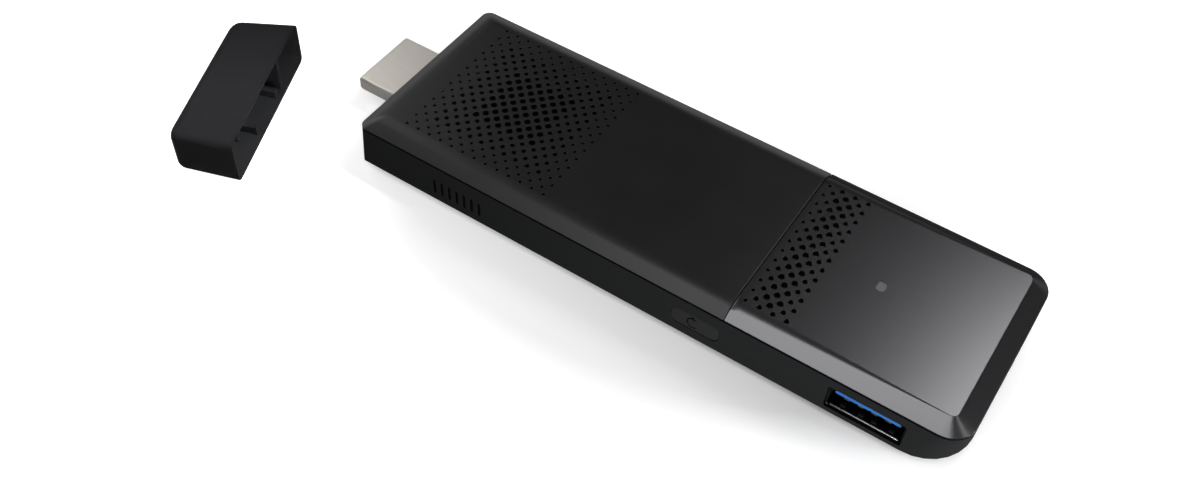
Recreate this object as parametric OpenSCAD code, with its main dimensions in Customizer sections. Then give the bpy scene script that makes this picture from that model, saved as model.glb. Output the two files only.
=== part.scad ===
// Stick computer with an HDMI plug, two covers over a lower case, a blower and a loose plug cap.
// Millimetres. Origin at the centre of the underside, +X towards the rear end, the plug points along -X,
// the near side with the slots, the button and the wide port faces -Y, +Z is up.

/* [Body] */
// Length of the case without the plug
body_l = 114; // [108:1:122]
// Width of the case
body_w = 38; // [36.5:0.5:44]
// Overall height
body_h = 12; // [11.6:0.1:13]
// Height of the crisp lower edge above the underside
edge_z = 1.9; // [1.6:0.1:2.2]
// How far the underside is drawn in from the side walls
foot_in = 2; // [1:0.1:2.1]
// Plan radius of the corners at the plug end
front_r = 2.2; // [2.15:0.05:3]
// Plan radius of the rear corners at the rim
rear_r = 4.5; // [3.5:0.25:6]
// Plan radius of the rear corners at the lower edge
rear_low_r = 8.5; // [7:0.25:9]
// Thickness of the case walls
wall = 1.5; // [1.3:0.05:1.6]
// Thickness of the case floor
floor_t = 1.5; // [1.2:0.1:1.6]
// Height of the reveal line under the covers
reveal_h = 0.25; // [0.15:0.05:0.4]
// Depth of the reveal line
reveal_d = 0.6; // [0.3:0.1:0.8]

/* [Covers] */
// Height of the covers above the rim of the case
cover_h = 1.8; // [1.5:0.05:2]
// Distance of the seam between the two covers from the rear end
seam_rear = 40.6; // [40.4:0.1:41]
// Gap between the two covers
seam_gap = 0.16; // [0.08:0.02:0.3]
// Thickness of the covers' top
cover_t = 1.1; // [0.8:0.05:1.2]
// Width of the covers' solid rim
cover_rim = 2.6; // [2.5:0.1:3]
// Width of the lower facet of the soft edge
soft_w1 = 1.8; // [1.6:0.1:2.4]
// Rise of the lower facet of the soft edge
soft_h1 = 1.1; // [0.9:0.05:1.2]
// Width of the soft edge up to its upper facet
soft_w2 = 2.9; // [2.8:0.1:3.6]
// Rise of the soft edge up to its upper facet
soft_h2 = 1.6; // [1.4:0.05:1.65]
// Full width of the soft edge
soft_w3 = 4.2; // [4:0.1:4.6]
// Width of the crisp bevel at the rear end
bevel_w = 3.1; // [2.6:0.1:3.6]
// Corner radius of the rear cover's flat top
bevel_r = 1.5; // [0.8:0.1:2.5]
// Length of a cover clip
clip_l = 5; // [3:0.5:7]
// Thickness of a cover clip
clip_t = 0.8; // [0.6:0.1:1]
// Drop of a cover clip below the rim
clip_h = 1.6; // [1.4:0.1:1.7]
// Reach of the nib on a cover clip
nib = 0.3; // [0.2:0.05:0.4]
// Height of the nib on a cover clip
nib_h = 0.6; // [0.4:0.1:0.8]
// Distance of the first clips from the plug end
clip_front = 7.5; // [6:0.5:9]
// Distance of the next clips from the seam, towards the plug
clip_seam = 24; // [20:1:30]
// Distance of the rear cover's first clips from the seam
clip_near = 4; // [3.8:0.1:5]
// Distance of the rear cover's second clips from the seam
clip_far = 14.4; // [13:0.2:15]
// Half the distance between the clips at the rear end
clip_end = 7; // [5:0.5:8]
// Gap between a clip and the case
clip_fit = 0.1; // [0.05:0.05:0.2]

/* [Grille and vents] */
// Holes along each side of the grille's outer lattice
grille_n = 13; // [9:1:13]
// Spacing of the grille holes along the stick
grille_px = 2.39; // [2:0.01:2.45]
// Distance of the grille and the vents from the sides of the stick
grille_side = 4.24; // [4.2:0.02:5]
// Distance of the middle of the grille from the plug end
grille_front = 22; // [21:0.1:24]
// Last half step from the grille's edge with small holes
grille_ring1 = 2; // [1:1:4]
// Last half step from the grille's edge with middling holes
grille_ring2 = 6; // [5:1:8]
// Diameter of the small holes in the grille's outer rings
grille_d1 = 0.55; // [0.4:0.05:0.7]
// Diameter of the holes in the grille's middle rings
grille_d2 = 0.85; // [0.7:0.05:1]
// Diameter of the holes in the grille's centre
grille_d3 = 1.2; // [1:0.05:1.3]
// Distance from the seam to the first row of vents
vent_off = 1.35; // [1.2:0.05:1.6]
// Spacing of the vent rows
vent_px = 1.2; // [1.1:0.05:1.3]
// Diameter of the vents in the first row
vent_d1 = 0.65; // [0.5:0.05:0.8]
// Diameter of the vents in the second row and the last two rows
vent_d2 = 0.9; // [0.7:0.05:1]
// Diameter of the vents in the middle rows
vent_d3 = 1.15; // [1:0.05:1.2]
// Number of upright slots in the near wall
slot_n = 7; // [5:1:8]
// Distance of the middle of the slots from the plug end
slot_front = 21.1; // [21:0.1:23]
// Spacing of the slots
slot_p = 1.6; // [1.4:0.05:1.7]
// Width of a slot
slot_w = 0.5; // [0.4:0.05:0.8]
// Height of a slot
slot_h = 3.1; // [2.4:0.1:3.4]
// Height of the middle of the slots
slot_z = 5.05; // [4.9:0.05:5.3]

/* [Light window] */
// Distance of the window from the rear end
light_rear = 22.8; // [22.7:0.1:23.1]
// Size of the window along the stick
light_l = 1.5; // [1.2:0.1:1.6]
// Size of the window across the stick
light_w = 2; // [1.5:0.1:2.4]
// How far the window's flange stands out under the cover
light_flange = 0.55; // [0.4:0.05:0.7]
// Thickness of the window's flange
light_flange_t = 0.4; // [0.3:0.05:0.6]
// Gap around the window, and under its top
light_fit = 0.05; // [0.03:0.01:0.08]
// Length of the light on the board
lamp_l = 1; // [0.6:0.1:1.2]
// Width of the light on the board
lamp_w = 1.6; // [1:0.1:2]
// Height of the light on the board
lamp_h = 0.6; // [0.4:0.1:0.8]
// Gap between the light and the light pipe
lamp_gap = 0.3; // [0.1:0.05:0.6]

/* [Board] */
// Height of the board's lower face
board_z = 2.9; // [2.85:0.05:3]
// Thickness of the board
board_t = 1; // [0.8:0.05:1.05]
// Gap between the board and the case walls
board_fit = 0.4; // [0.3:0.05:0.6]
// Gap between a connector and its notch in the board
notch_fit = 0.2; // [0.1:0.05:0.3]
// Diameter of the screws
screw_d = 1.6; // [1.2:0.1:1.8]
// Diameter of the screw heads
screw_head_d = 2.6; // [2.2:0.1:2.8]
// Height of the screw heads
screw_head_h = 0.8; // [0.5:0.1:0.9]
// Radial gap between a screw and its hole
screw_fit = 0.06; // [0.03:0.01:0.1]
// Depth of floor left under the screw holes
screw_floor = 0.6; // [0.5:0.05:0.8]
// Gap left under the screw tips
screw_end = 0.2; // [0.1:0.05:0.3]
// Diameter of the screw bosses
boss_d = 3.6; // [3:0.1:3.8]
// Distance of the front board screws from the plug end
board_screw_front = 4.5; // [4.2:0.1:4.8]
// Distance of the front board screws from the sides of the stick
board_screw_front_side = 5.8; // [5.6:0.1:6.6]
// Distance of the rear board screws from the rear end
board_screw_rear = 5.5; // [5.3:0.1:6]
// Distance of the rear board screws from the sides of the stick
board_screw_rear_side = 7; // [6.8:0.1:8]

/* [Cooling] */
// Length of the processor package
chip_l = 17; // [14:0.5:17]
// Width of the processor package
chip_w = 13; // [10:0.5:13]
// Thickness of the processor package
chip_t = 0.8; // [0.6:0.05:1]
// Length of the bare die
die_l = 10; // [6:0.5:12]
// Width of the bare die
die_w = 8; // [5:0.5:9]
// Thickness of the die
die_t = 0.3; // [0.2:0.05:0.4]
// Thickness of the thermal pad
pad_t = 0.4; // [0.2:0.05:0.6]
// How far the pad covers more than the die on each side
pad_over = 0.5; // [0.2:0.1:1]
// Length of the heat plate
plate_l = 24; // [23.5:0.1:24.5]
// Distance of the heat plate from the sides of the stick
plate_side = 9; // [8.5:0.25:9.5]
// Thickness of the heat plate
plate_t = 1; // [0.8:0.1:1.2]
// Distance of the plate's screws from its edges
plate_screw_in = 1.6; // [1.5:0.05:1.8]
// Diameter of the plate's legs
leg_d = 3; // [2.6:0.1:3.2]
// Width of the flattened heat pipe
pipe_w = 3.4; // [2.6:0.1:3.6]
// Thickness of the flattened heat pipe
pipe_t = 1.4; // [1:0.1:1.8]
// Distance of the heat pipe from the near wall, at its middle
pipe_in = 5.4; // [5.2:0.1:5.6]
// Distance of the heat pipe from the plate's near screws
pipe_screw = 3.8; // [3.6:0.1:4]
// Gap between the heat pipe and the fins
pipe_fit = 0.05; // [0.03:0.01:0.1]
// Number of fins
fin_n = 12; // [8:1:14]
// Thickness of a fin
fin_t = 0.25; // [0.2:0.05:0.35]
// Depth of the fins
fin_w = 5.4; // [5:0.1:5.6]
// Gap between the fins and the near wall
fin_gap = 0.9; // [0.7:0.05:1]
// Room between the fins and the covers
fin_room = 1.7; // [1.5:0.1:2.2]
// Thickness of the plate under the fins
fin_base = 0.4; // [0.3:0.05:0.6]
// Gap between the fins and the board
fin_lift = 0.3; // [0.1:0.05:0.4]

/* [Blower] */
// Gap between the plug and the blower
fan_front_gap = 2.3; // [2:0.1:2.6]
// Gap between the blower and the far wall
fan_far_gap = 1.9; // [1.6:0.1:2.2]
// Gap between the blower and the fins
fan_fin_gap = 0.8; // [0.6:0.1:1]
// Corner radius of the blower's housing
fan_corner = 2; // [1:0.1:3]
// Thickness of the housing's floor
fan_floor = 0.5; // [0.4:0.05:0.6]
// Room between the blower's screws and the covers
fan_room = 0.8; // [0.6:0.05:1]
// Thickness of the blower's lid
fan_lid_t = 0.4; // [0.3:0.05:0.5]
// Wall around the blower's chamber at its thinnest
fan_wall = 2.2; // [2:0.1:2.6]
// Width of the blower's outlet
fan_outlet_w = 11.5; // [9:0.1:12]
// Reach of the blower's lid over the chamber
fan_inlet_lip = 3.3; // [2.5:0.1:4]
// Distance of the blower's screws from its edges
fan_screw_in = 1.7; // [1.6:0.05:1.9]
// Gap between the blades and the chamber wall
blade_tip_gap = 1; // [0.7:0.1:1.4]
// Thickness of a blade
blade_t = 0.45; // [0.35:0.05:0.55]
// Number of blades
blade_n = 21; // [15:2:25]
// Lean of the blades
blade_lean = 24; // [0:1:30]
// Gap above and below the blades
blade_gap = 0.5; // [0.4:0.05:0.6]
// Radius of the rotor's hub
hub_r = 4.6; // [4.4:0.1:5]
// Wall of the rotor's hub
hub_t = 0.6; // [0.4:0.05:0.7]
// Thickness of the magnet ring
magnet_t = 0.6; // [0.5:0.05:0.7]
// Gap between the magnet ring and the stator
air_gap = 0.25; // [0.2:0.05:0.3]
// How much lower than the bearing the stator is
stator_low = 0.8; // [0.5:0.1:1]
// Number of the stator's teeth
stator_n = 6; // [4:1:9]
// Width of the stator's teeth
tooth_w = 0.9; // [0.7:0.05:1]
// Radius of the fan's shaft
shaft_r = 0.6; // [0.5:0.05:0.7]
// Radial running gap of the shaft
shaft_fit = 0.04; // [0.02:0.01:0.08]
// Wall of the bearing
bearing_t = 0.7; // [0.6:0.05:0.8]
// Gap around the bearing in the stator and around the magnet in the hub
core_gap = 0.05; // [0.03:0.01:0.08]
// Room between the bearing and the hub
bearing_room = 0.8; // [0.5:0.1:1]

/* [Plug] */
// How far the plug stands out of the case
plug_out = 10.3; // [9.5:0.1:11]
// Width of the plug
plug_w = 13.9; // [13.5:0.1:14.2]
// Height of the plug
plug_h = 4.45; // [4.3:0.05:4.6]
// Height of the plug's lower face
plug_z = 2.55; // [2.5:0.05:2.7]
// Height of the upright part of the plug's sides
plug_side = 2.6; // [2.4:0.1:3]
// Drawing in of the plug's lower corners
plug_nip = 1.5; // [1:0.1:1.8]
// Corner radius at the top of the plug
plug_r = 0.5; // [0.3:0.1:0.7]
// Thickness of the plug's sheet metal
plug_t = 0.35; // [0.25:0.05:0.4]
// Length of the plug inside the case
plug_in = 7.2; // [6.8:0.1:7.4]
// Gap between the plug and the case
plug_fit = 0.25; // [0.15:0.05:0.35]
// Set-back of the plug's insulator from the tip
core_back = 0.4; // [0.2:0.1:0.8]
// Gap between the insulator and the shell
core_fit = 0.05; // [0.03:0.01:0.08]
// Width of the insulator's slot
core_slot_w = 11.2; // [11:0.1:11.4]
// Free height of the insulator's slot between its contacts
core_slot_h = 1.5; // [1.3:0.05:1.6]
// Depth of the insulator's slot
core_slot_l = 8; // [6:0.5:9]
// Number of contacts on the plug's lower row
plug_pins = 9; // [7:1:10]
// Spacing of the plug's contacts
plug_pitch = 1; // [0.9:0.05:1.05]
// Width of a contact in the plug
plug_pin_w = 0.45; // [0.3:0.05:0.5]
// Thickness of the contacts
pin_t = 0.1; // [0.08:0.01:0.12]
// Length of the contacts' tails on the board
tail_l = 1.4; // [1:0.1:1.6]
// Length of the sheet-metal tabs on the board
tab_l = 2; // [1:0.1:2.5]
// Height of the plug's tabs up its sides
tab_h = 1.3; // [1:0.1:1.6]
// Reach of the sheet-metal tabs
tab_w = 1.3; // [1:0.1:1.5]

/* [Wide port] */
// Distance of the middle of the port from the rear end
usba_rear = 15.35; // [15.1:0.05:15.6]
// Height of the middle of the port
usba_z = 5.5; // [5.4:0.05:5.55]
// Width of the port's inside
usba_w = 12.5; // [12.4:0.05:12.7]
// Height of the port's inside
usba_h = 5.12; // [5:0.02:5.2]
// Thickness of the port's sheet metal
usba_t = 0.3; // [0.25:0.05:0.35]
// Set-back of the port's mouth from the wall
usba_back = 0.45; // [0.3:0.05:0.6]
// Depth of the port
usba_l = 13.2; // [12.5:0.1:13.5]
// Margin of the case opening around the port's inside
usba_margin = 0.1; // [0.05:0.05:0.2]
// Reach of the case's upper lip over the port
usba_lip = 0.35; // [0.2:0.05:0.45]
// Gap between the port and its pocket in the wall
usba_fit = 0.1; // [0.05:0.05:0.15]
// Width of the port's tongue
tongue_w = 11.1; // [10.5:0.1:11.5]
// Thickness of the port's tongue
tongue_t = 1.84; // [1.6:0.02:1.9]
// Gap above the port's tongue
tongue_top = 0.9; // [0.6:0.05:1]
// Set-back of the port's tongue from its mouth
tongue_back = 0.6; // [0.5:0.1:1.5]
// Thickness of the port's back block
tongue_root = 2; // [1.5:0.1:2.5]
// Gap between the back block and the shell
root_fit = 0.05; // [0.03:0.01:0.08]
// Number of contacts in the port
usba_pins = 4; // [4:1:4]
// Spacing of the port's contacts
usba_pitch = 2.3; // [2:0.1:2.5]
// Width of a contact in the port
usba_pin_w = 1; // [0.8:0.05:1.2]

/* [Small port] */
// Distance of the middle of the port from the rear end
usbc_rear = 16; // [15.5:0.1:16.5]
// Width of the port's shell
usbc_w = 8.94; // [8.8:0.02:9.2]
// Height of the port's shell
usbc_h = 3.26; // [3.1:0.02:3.4]
// Thickness of the port's sheet metal
usbc_t = 0.3; // [0.25:0.05:0.35]
// Depth of the port
usbc_l = 7.3; // [6.8:0.1:7.5]
// Set-back of the port's mouth from the wall
usbc_back = 0.5; // [0.3:0.05:0.7]
// Gap between the port and the case
usbc_fit = 0.12; // [0.08:0.02:0.2]
// Width of the port's tongue
usbc_tongue_w = 6.69; // [6.4:0.01:6.8]
// Thickness of the port's tongue
usbc_tongue_t = 0.7; // [0.6:0.05:0.8]
// Set-back of the port's tongue from its mouth
usbc_tongue_back = 0.7; // [0.5:0.1:1]
// Thickness of the port's back block
usbc_root = 1.2; // [1:0.1:1.5]
// Contacts on each side of the tongue
usbc_pins = 12; // [8:1:12]
// Spacing of the port's contacts
usbc_pitch = 0.5; // [0.4:0.02:0.52]
// Width of a contact in the port
usbc_pin_w = 0.26; // [0.2:0.02:0.3]

/* [Card socket] */
// Distance of the middle of the card socket from the rear end
card_rear = 37; // [36.5:0.1:37.5]
// Width of the socket
card_w = 14; // [13.5:0.1:14.2]
// Depth of the socket
card_l = 14.2; // [13.5:0.1:14.4]
// Height of the socket
card_h = 1.45; // [1.4:0.05:1.6]
// Width of the card slot
card_slot_w = 11.2; // [11.1:0.1:11.5]
// Height of the card slot
card_slot_h = 0.85; // [0.8:0.05:0.9]
// Depth of the card slot
card_slot_l = 13; // [11:0.5:13.2]
// Margin of the case opening around the card slot
card_margin = 0.3; // [0.2:0.05:0.4]

/* [Button] */
// Distance of the middle of the button from the rear end
button_rear = 45.4; // [45.2:0.05:45.5]
// Height of the middle of the button
button_z = 5.5; // [5.4:0.05:5.55]
// Length of the button
button_l = 8.8; // [8:0.1:8.9]
// Height of the button
button_h = 3.5; // [3:0.05:3.6]
// Corner radius of the button
button_r = 1.3; // [0.8:0.05:1.4]
// Set-back of the button's face from the wall
button_back = 0.06; // [0.02:0.02:0.2]
// Gap around the button in the wall
button_fit = 0.12; // [0.08:0.02:0.2]
// Reach of the button's flange behind the wall
flange_reach = 0.6; // [0.4:0.05:0.7]
// Thickness of the button's flange
flange_t = 0.7; // [0.5:0.05:0.8]
// Gap between the flange and the wall
flange_gap = 0.1; // [0.05:0.05:0.2]
// Travel of the button
button_travel = 0.35; // [0.2:0.05:0.4]
// Length of the switch behind the button
switch_l = 4.5; // [4:0.1:5]
// Depth of the switch
switch_w = 2.5; // [2.2:0.1:3]
// Height of the switch
switch_h = 2.6; // [2.4:0.1:3]
// Gap between the flange and the switch
switch_gap = 1.1; // [0.9:0.05:1.2]
// Radius of the switch's plunger
plunger_r = 0.6; // [0.5:0.05:0.7]
// Depth of the plunger in the switch at rest
plunger_in = 0.8; // [0.6:0.1:1]
// Gap around the plunger
plunger_fit = 0.05; // [0.03:0.01:0.08]
// Room behind the plunger's end
plunger_room = 0.65; // [0.5:0.05:0.8]

/* [Chips] */
// Length of a memory chip
memory_l = 8; // [7:0.5:8]
// Width of a memory chip
memory_w = 10; // [8:0.5:10]
// Height of a memory chip
memory_h = 1; // [0.8:0.1:1.2]
// Distance of the middle of the first memory chip from the rear end
memory_rear = 43; // [42.8:0.1:43.2]
// Distance between the memory chips
memory_p = 9.5; // [9:0.1:9.5]
// Gap between the memory chips and the switch
memory_gap = 1.6; // [1.2:0.1:2]
// Length of the storage chip
storage_l = 11.5; // [10:0.5:12]
// Width of the storage chip
storage_w = 13; // [11:0.5:13]
// Height of the storage chip under the board
storage_h = 1; // [0.8:0.1:1.1]
// Distance of the middle of the storage chip from the rear end
storage_rear = 41; // [37:0.5:42]
// Length of the wireless module
radio_l = 12; // [10:0.5:12]
// Gap between the wireless module and the wide port
radio_near_gap = 2.35; // [2:0.05:2.6]
// Height of the wireless module
radio_h = 1.7; // [1.4:0.1:2]
// Gap between the wireless module and the small port
radio_far_gap = 1.8; // [1.5:0.1:2]
// Length of an antenna
antenna_l = 1.6; // [1.2:0.1:2]
// Width of an antenna
antenna_w = 5; // [4:0.5:6]
// Height of an antenna
antenna_h = 1.2; // [0.8:0.1:1.4]
// Distance of the antennas from the rear end
antenna_in = 3.6; // [3.2:0.1:4]
// Half the distance between the antennas
antenna_y = 5.5; // [5:0.1:6]
// Side of an inductor
inductor_s = 3; // [2.5:0.1:3.2]
// Height of an inductor
inductor_h = 2; // [1.5:0.1:2.5]
// Corner radius of an inductor
inductor_r = 0.6; // [0.3:0.1:0.8]
// Distance of the inductors from the rear end
inductor_rear = 26; // [25.8:0.1:26.2]
// Distance between the inductors
inductor_p = 4.2; // [3.8:0.1:4.5]
// Distance of the middle inductor from the near side of the stick
inductor_side = 10; // [9.6:0.1:10.4]

/* [Plug cap] */
// Width of the cap at its mouth
cap_w = 33.2; // [30:0.2:34]
// Height of the cap at its mouth
cap_h = 9.3; // [8.6:0.1:10]
// Depth of the cap
cap_d = 12.5; // [11.8:0.1:14]
// Thickness of the cap's walls
cap_t = 1; // [0.8:0.05:1.2]
// Drawing in of the cap's sides at its closed end
cap_taper = 0.8; // [0.4:0.1:1.2]
// Drop of the cap's top at its closed end
cap_drop = 0.9; // [0.5:0.1:1.2]
// Plan radius of the cap's closed corners
cap_r = 2.25; // [2:0.25:4]
// Radius of the cap's top edges
cap_edge_r = 1.1; // [0.6:0.1:1.5]
// Thickness of the cap's ribs
rib_t = 1; // [0.8:0.1:1.4]
// Set-back of the cap's ribs from its mouth
rib_back = 0.9; // [0.8:0.1:2]
// Set-back of the tall rib on the cap's near side
rib_near_back = 3.4; // [2.5:0.1:4]
// Distance of the low ribs under the plug from the cap's middle
low_rib_y = 4.85; // [4.5:0.05:5.2]
// Gap between the plug and the low ribs
low_rib_fit = 0.15; // [0.1:0.05:0.25]
// Gap between the plug and the cap's ribs
rib_fit = 0.15; // [0.1:0.05:0.25]
// Turn of the cap on the table
cap_turn = 22.4; // [15:0.1:30]
// Place of the middle of the cap's mouth along the stick
cap_x = -78.4; // [-84:0.1:-77]
// Place of the middle of the cap's mouth across the stick
cap_y = -19.4; // [-24:0.1:-17]

/* [Hidden] */
$fn = 40;
skin = 0.01;
through = 4;
front_end = -body_l / 2;
rear_end = body_l / 2;
near = -body_w / 2;
far = body_w / 2;
near_in = near + wall;
far_in = far - wall;
rim_z = body_h - cover_h;
seam_x = rear_end - seam_rear;
grille_x = front_end + grille_front;
grille_py = (body_w - 2 * grille_side) / (grille_n - 1);
slot_x = front_end + slot_front;
light_x = rear_end - light_rear;
board_top = board_z + board_t;
board_in = wall + board_fit;
lid_z = body_h - cover_t;
screw_hole_r = screw_d / 2 + screw_fit;
board_screws_at = [
    for (s = [-1, 1]) [front_end + board_screw_front, s * (far - board_screw_front_side)],
    for (s = [-1, 1]) [rear_end - board_screw_rear, s * (far - board_screw_rear_side)]
];
fan_side = body_w - 2 * wall - fin_gap - fin_w - fan_fin_gap - fan_far_gap;
fan_x = front_end + plug_in + fan_front_gap + fan_side / 2;
fan_y = far_in - fan_far_gap - fan_side / 2;
button_x = rear_end - button_rear;
flange_y = near_in + flange_gap;
switch_y = flange_y + flange_t + switch_gap;
memory_x = rear_end - memory_rear;
memory_y = switch_y + switch_w + memory_gap + memory_w / 2;
storage_x = rear_end - storage_rear;
inductor_x = rear_end - inductor_rear;
inductor_y = near + inductor_side;
chip_x = (fan_x + fan_side / 2 + memory_x - memory_l / 2) / 2;
plate_w = body_w - 2 * plate_side;
plate_screws_at = [
    for (i = [-1, 1], j = [-1, 1])
        [chip_x + i * (plate_l / 2 - plate_screw_in), j * (plate_w / 2 - plate_screw_in)]
];
fan_screw_off = fan_side / 2 - fan_screw_in;
fan_screws_at = [for (c = [[-1, 1], [1, 1], [1, -1]]) [fan_x, fan_y] + fan_screw_off * c];
die_top = board_top + chip_t + die_t;
plate_z = die_top + pad_t;
pipe_z = plate_z + plate_t;
pipe_y = near + pipe_in;
pipe_plate_y = pipe_screw + plate_screw_in - plate_w / 2;
fan_z = board_top;
fan_top = lid_z - fan_room - screw_head_h - fan_lid_t;
fan_h = fan_top - fan_z;
fan_chamber_r = fan_side / 2 - fan_wall;
blade_r = fan_chamber_r - blade_tip_gap;
blade_root = hub_r - hub_t / 2;
blade_l = sqrt(pow(blade_r, 2) - pow(blade_root * sin(blade_lean), 2)) - blade_root * cos(blade_lean);
blade_z = fan_z + fan_floor + blade_gap;
blade_top = fan_top - blade_gap;
bearing_z = fan_z + fan_floor;
bearing_h = blade_top - hub_t - bearing_z - bearing_room;
stator_h = bearing_h - stator_low;
bearing_r = shaft_r + shaft_fit + bearing_t;
hub_in = hub_r - hub_t;
magnet_r = hub_in - core_gap;
stator_r = magnet_r - magnet_t - air_gap;
usba_x = rear_end - usba_rear;
usba_mouth = near + usba_back;
usba_high = usba_z + usba_h / 2;
tongue_z = usba_high - tongue_top - tongue_t;
usbc_x = rear_end - usbc_rear;
usbc_mouth = far - usbc_back;
radio_low = usba_mouth + usba_l + radio_near_gap;
radio_high = usbc_mouth - usbc_l - radio_far_gap;
usbc_z = board_top + usbc_h / 2;
card_x = rear_end - card_rear;
card_mouth = far - board_in;
card_slot_z = board_top + (card_h - card_slot_h) / 2;
plug_tip = front_end - plug_out;
plug_end = front_end + plug_in;
core_mid = board_top + pin_t + core_slot_h / 2;
fins_x = fan_x;
fins_l = fan_outlet_w;
fins_y = near_in + fin_gap;
top_clips = [
    for (x = [front_end + clip_front, seam_x - clip_seam], s = [-1, 1]) [x, s * far_in, 90 - 90 * s]
];
rear_clips = [
    for (x = [seam_x + clip_near, seam_x + clip_far], s = [-1, 1]) [x, s * far_in, 90 - 90 * s],
    for (s = [-1, 1]) [rear_end - wall, s * clip_end, -90]
];

// Plan outline of the case, drawn in by inset, with its own corner radii at the two ends
module outline(inset, front, rear) {
    x = body_l / 2 - inset;
    y = body_w / 2 - inset;
    polygon([
        [-x, front - y], [front - x, -y], [x - rear, -y], [x, rear - y],
        [x, y - rear], [x - rear, y], [front - x, y], [-x, y - front]
    ]);
    for (s = [-1, 1]) {
        translate([front - x, s * (y - front)]) circle(front);
        translate([x - rear, s * (y - rear)]) circle(rear);
    }
}

// Rectangle with rounded corners around the origin
module round_rect(l, w, r) {
    square([l - 2 * r, w], center = true);
    square([l, w - 2 * r], center = true);
    for (i = [-1, 1], j = [-1, 1]) translate([i * (l / 2 - r), j * (w / 2 - r)]) circle(r);
}

// Block that stands on z, around the middle x and y
module block(at, size) {
    translate([at[0] - size[0] / 2, at[1] - size[1] / 2, at[2]]) cube(size);
}

// Profile in the X and Z directions, drawn out along +Y from y
module along_y(y, l) {
    translate([0, y + l, 0]) rotate([90, 0, 0]) linear_extrude(l) children();
}

// Profile in the Y and Z directions, drawn out along +X from x
module along_x(x, l) {
    translate([x, 0, 0]) rotate([90, 0, 90]) linear_extrude(l) children();
}

// Pan-head screws with their seats at z and tips at z minus l
module screws(places, z, l) {
    for (p = places) translate([p[0], p[1], z]) {
        translate([0, 0, -l]) cylinder(h = l + skin, d = screw_d);
        difference() {
            cylinder(h = screw_head_h, d = screw_head_d);
            translate([0, 0, screw_head_h / 2])
                for (a = [0, 90]) rotate(a) block([0, 0, 0], [screw_d, screw_d / 4, screw_head_h]);
        }
    }
}

// Holes of a lattice: small in its outer rings, larger towards its centre
module grille_holes() {
    last = 2 * (grille_n - 1);
    for (i = [0 : last], j = [0 : last]) if ((i + j) % 2 == 0 && i % 2 == j % 2) {
        ring = min(i, j, last - i, last - j);
        d = ring <= grille_ring1 ? grille_d1 : ring <= grille_ring2 ? grille_d2 : grille_d3;
        x = grille_x + (i - last / 2) * grille_px / 2;
        y = (j - last / 2) * grille_py / 2;
        translate([x, y, lid_z - through]) cylinder(h = cover_t + 2 * through, d = d, $fn = 16);
    }
}

// Seven staggered rows of vents beside the seam
module vent_holes() {
    rows = [vent_d1, vent_d2, vent_d3, vent_d3, vent_d3, vent_d2, vent_d2];
    for (r = [0 : len(rows) - 1]) {
        n = grille_n - r % 2;
        for (k = [0 : n - 1]) {
            edge = (k == 0 || k == n - 1) && r % 2 == 0;
            translate([seam_x + vent_off + r * vent_px, (k - (n - 1) / 2) * grille_py, lid_z - through])
                cylinder(h = cover_t + 2 * through, d = edge ? min(rows[r], vent_d2) : rows[r], $fn = 16);
        }
    }
}

// Space under a cover, between two places along the stick
module cover_space(x0, x1) {
    intersection() {
        translate([0, 0, rim_z - through]) linear_extrude(lid_z - rim_z + through)
            outline(cover_rim, skin, rear_r);
        translate([x0, -body_w, 0]) cube([x1 - x0, 2 * body_w, body_h]);
    }
}

// Nibs of the cover clips, or with grow their pockets in the case
module nibs(places, grow) {
    for (p = places) translate([p[0], p[1], rim_z - clip_h - grow]) rotate(p[2])
        block([0, nib / 2 - clip_fit, 0], [clip_l, nib, nib_h] + 2 * grow * [1, 1, 1]);
}

// Clips that hang from a cover along the walls, with nibs that snap into the case
module clips(places) {
    for (p = places) translate([p[0], p[1], rim_z - clip_h]) rotate(p[2])
        block([0, -clip_fit - clip_t / 2, 0], [clip_l, clip_t, clip_h + (lid_z - rim_z) / 2]);
    nibs(places, 0);
}

module bottom_case() {
    lip_z = rim_z - reveal_h;
    color([0.055, 0.055, 0.06]) difference() {
        union() {
            difference() {
                union() {
                    hull() {
                        linear_extrude(skin) outline(foot_in, front_r - foot_in, rear_low_r - foot_in);
                        translate([0, 0, edge_z]) linear_extrude(skin) outline(0, front_r, rear_low_r);
                        translate([0, 0, lip_z - skin]) linear_extrude(skin) outline(0, front_r, rear_r);
                    }
                    translate([0, 0, lip_z - skin]) linear_extrude(reveal_h + skin)
                        outline(reveal_d, front_r - reveal_d, rear_r - reveal_d);
                }
                translate([0, 0, floor_t]) linear_extrude(body_h)
                    outline(wall, front_r - wall, rear_low_r - wall);
            }
            for (p = concat(board_screws_at, plate_screws_at))
                translate([p[0], p[1], floor_t - skin]) cylinder(h = board_z - floor_t + skin, d = boss_d);
        }
        for (p = concat(board_screws_at, plate_screws_at))
            translate([p[0], p[1], screw_floor]) cylinder(h = board_z, r = screw_hole_r);
        along_x(front_end - through, wall + 2 * through) plug_profile(plug_fit);
        along_y(near - through, 2 * through) translate([usba_x, usba_z - usba_lip / 2])
            round_rect(usba_w + 2 * usba_margin, usba_h + 2 * usba_margin - usba_lip, usba_t);
        along_y(usba_mouth, through) translate([usba_x, usba_z])
            square([usba_w + 2 * (usba_t + usba_fit), usba_h + 2 * (usba_t + usba_fit)], center = true);
        along_y(far - through, 2 * through) translate([usbc_x, usbc_z]) usbc_profile(usbc_fit);
        block([card_x, far, card_slot_z - card_margin],
            [card_slot_w + 2 * card_margin, 2 * through, card_slot_h + 2 * card_margin]);
        along_y(near - through, 2 * through) translate([button_x, button_z])
            round_rect(button_l + 2 * button_fit, button_h + 2 * button_fit, button_r + button_fit);
        for (k = [0 : slot_n - 1])
            along_y(near - through, 2 * through)
                translate([slot_x + (k - (slot_n - 1) / 2) * slot_p, slot_z]) slot_profile();
        nibs(concat(top_clips, rear_clips), clip_fit);
    }
}

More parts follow.
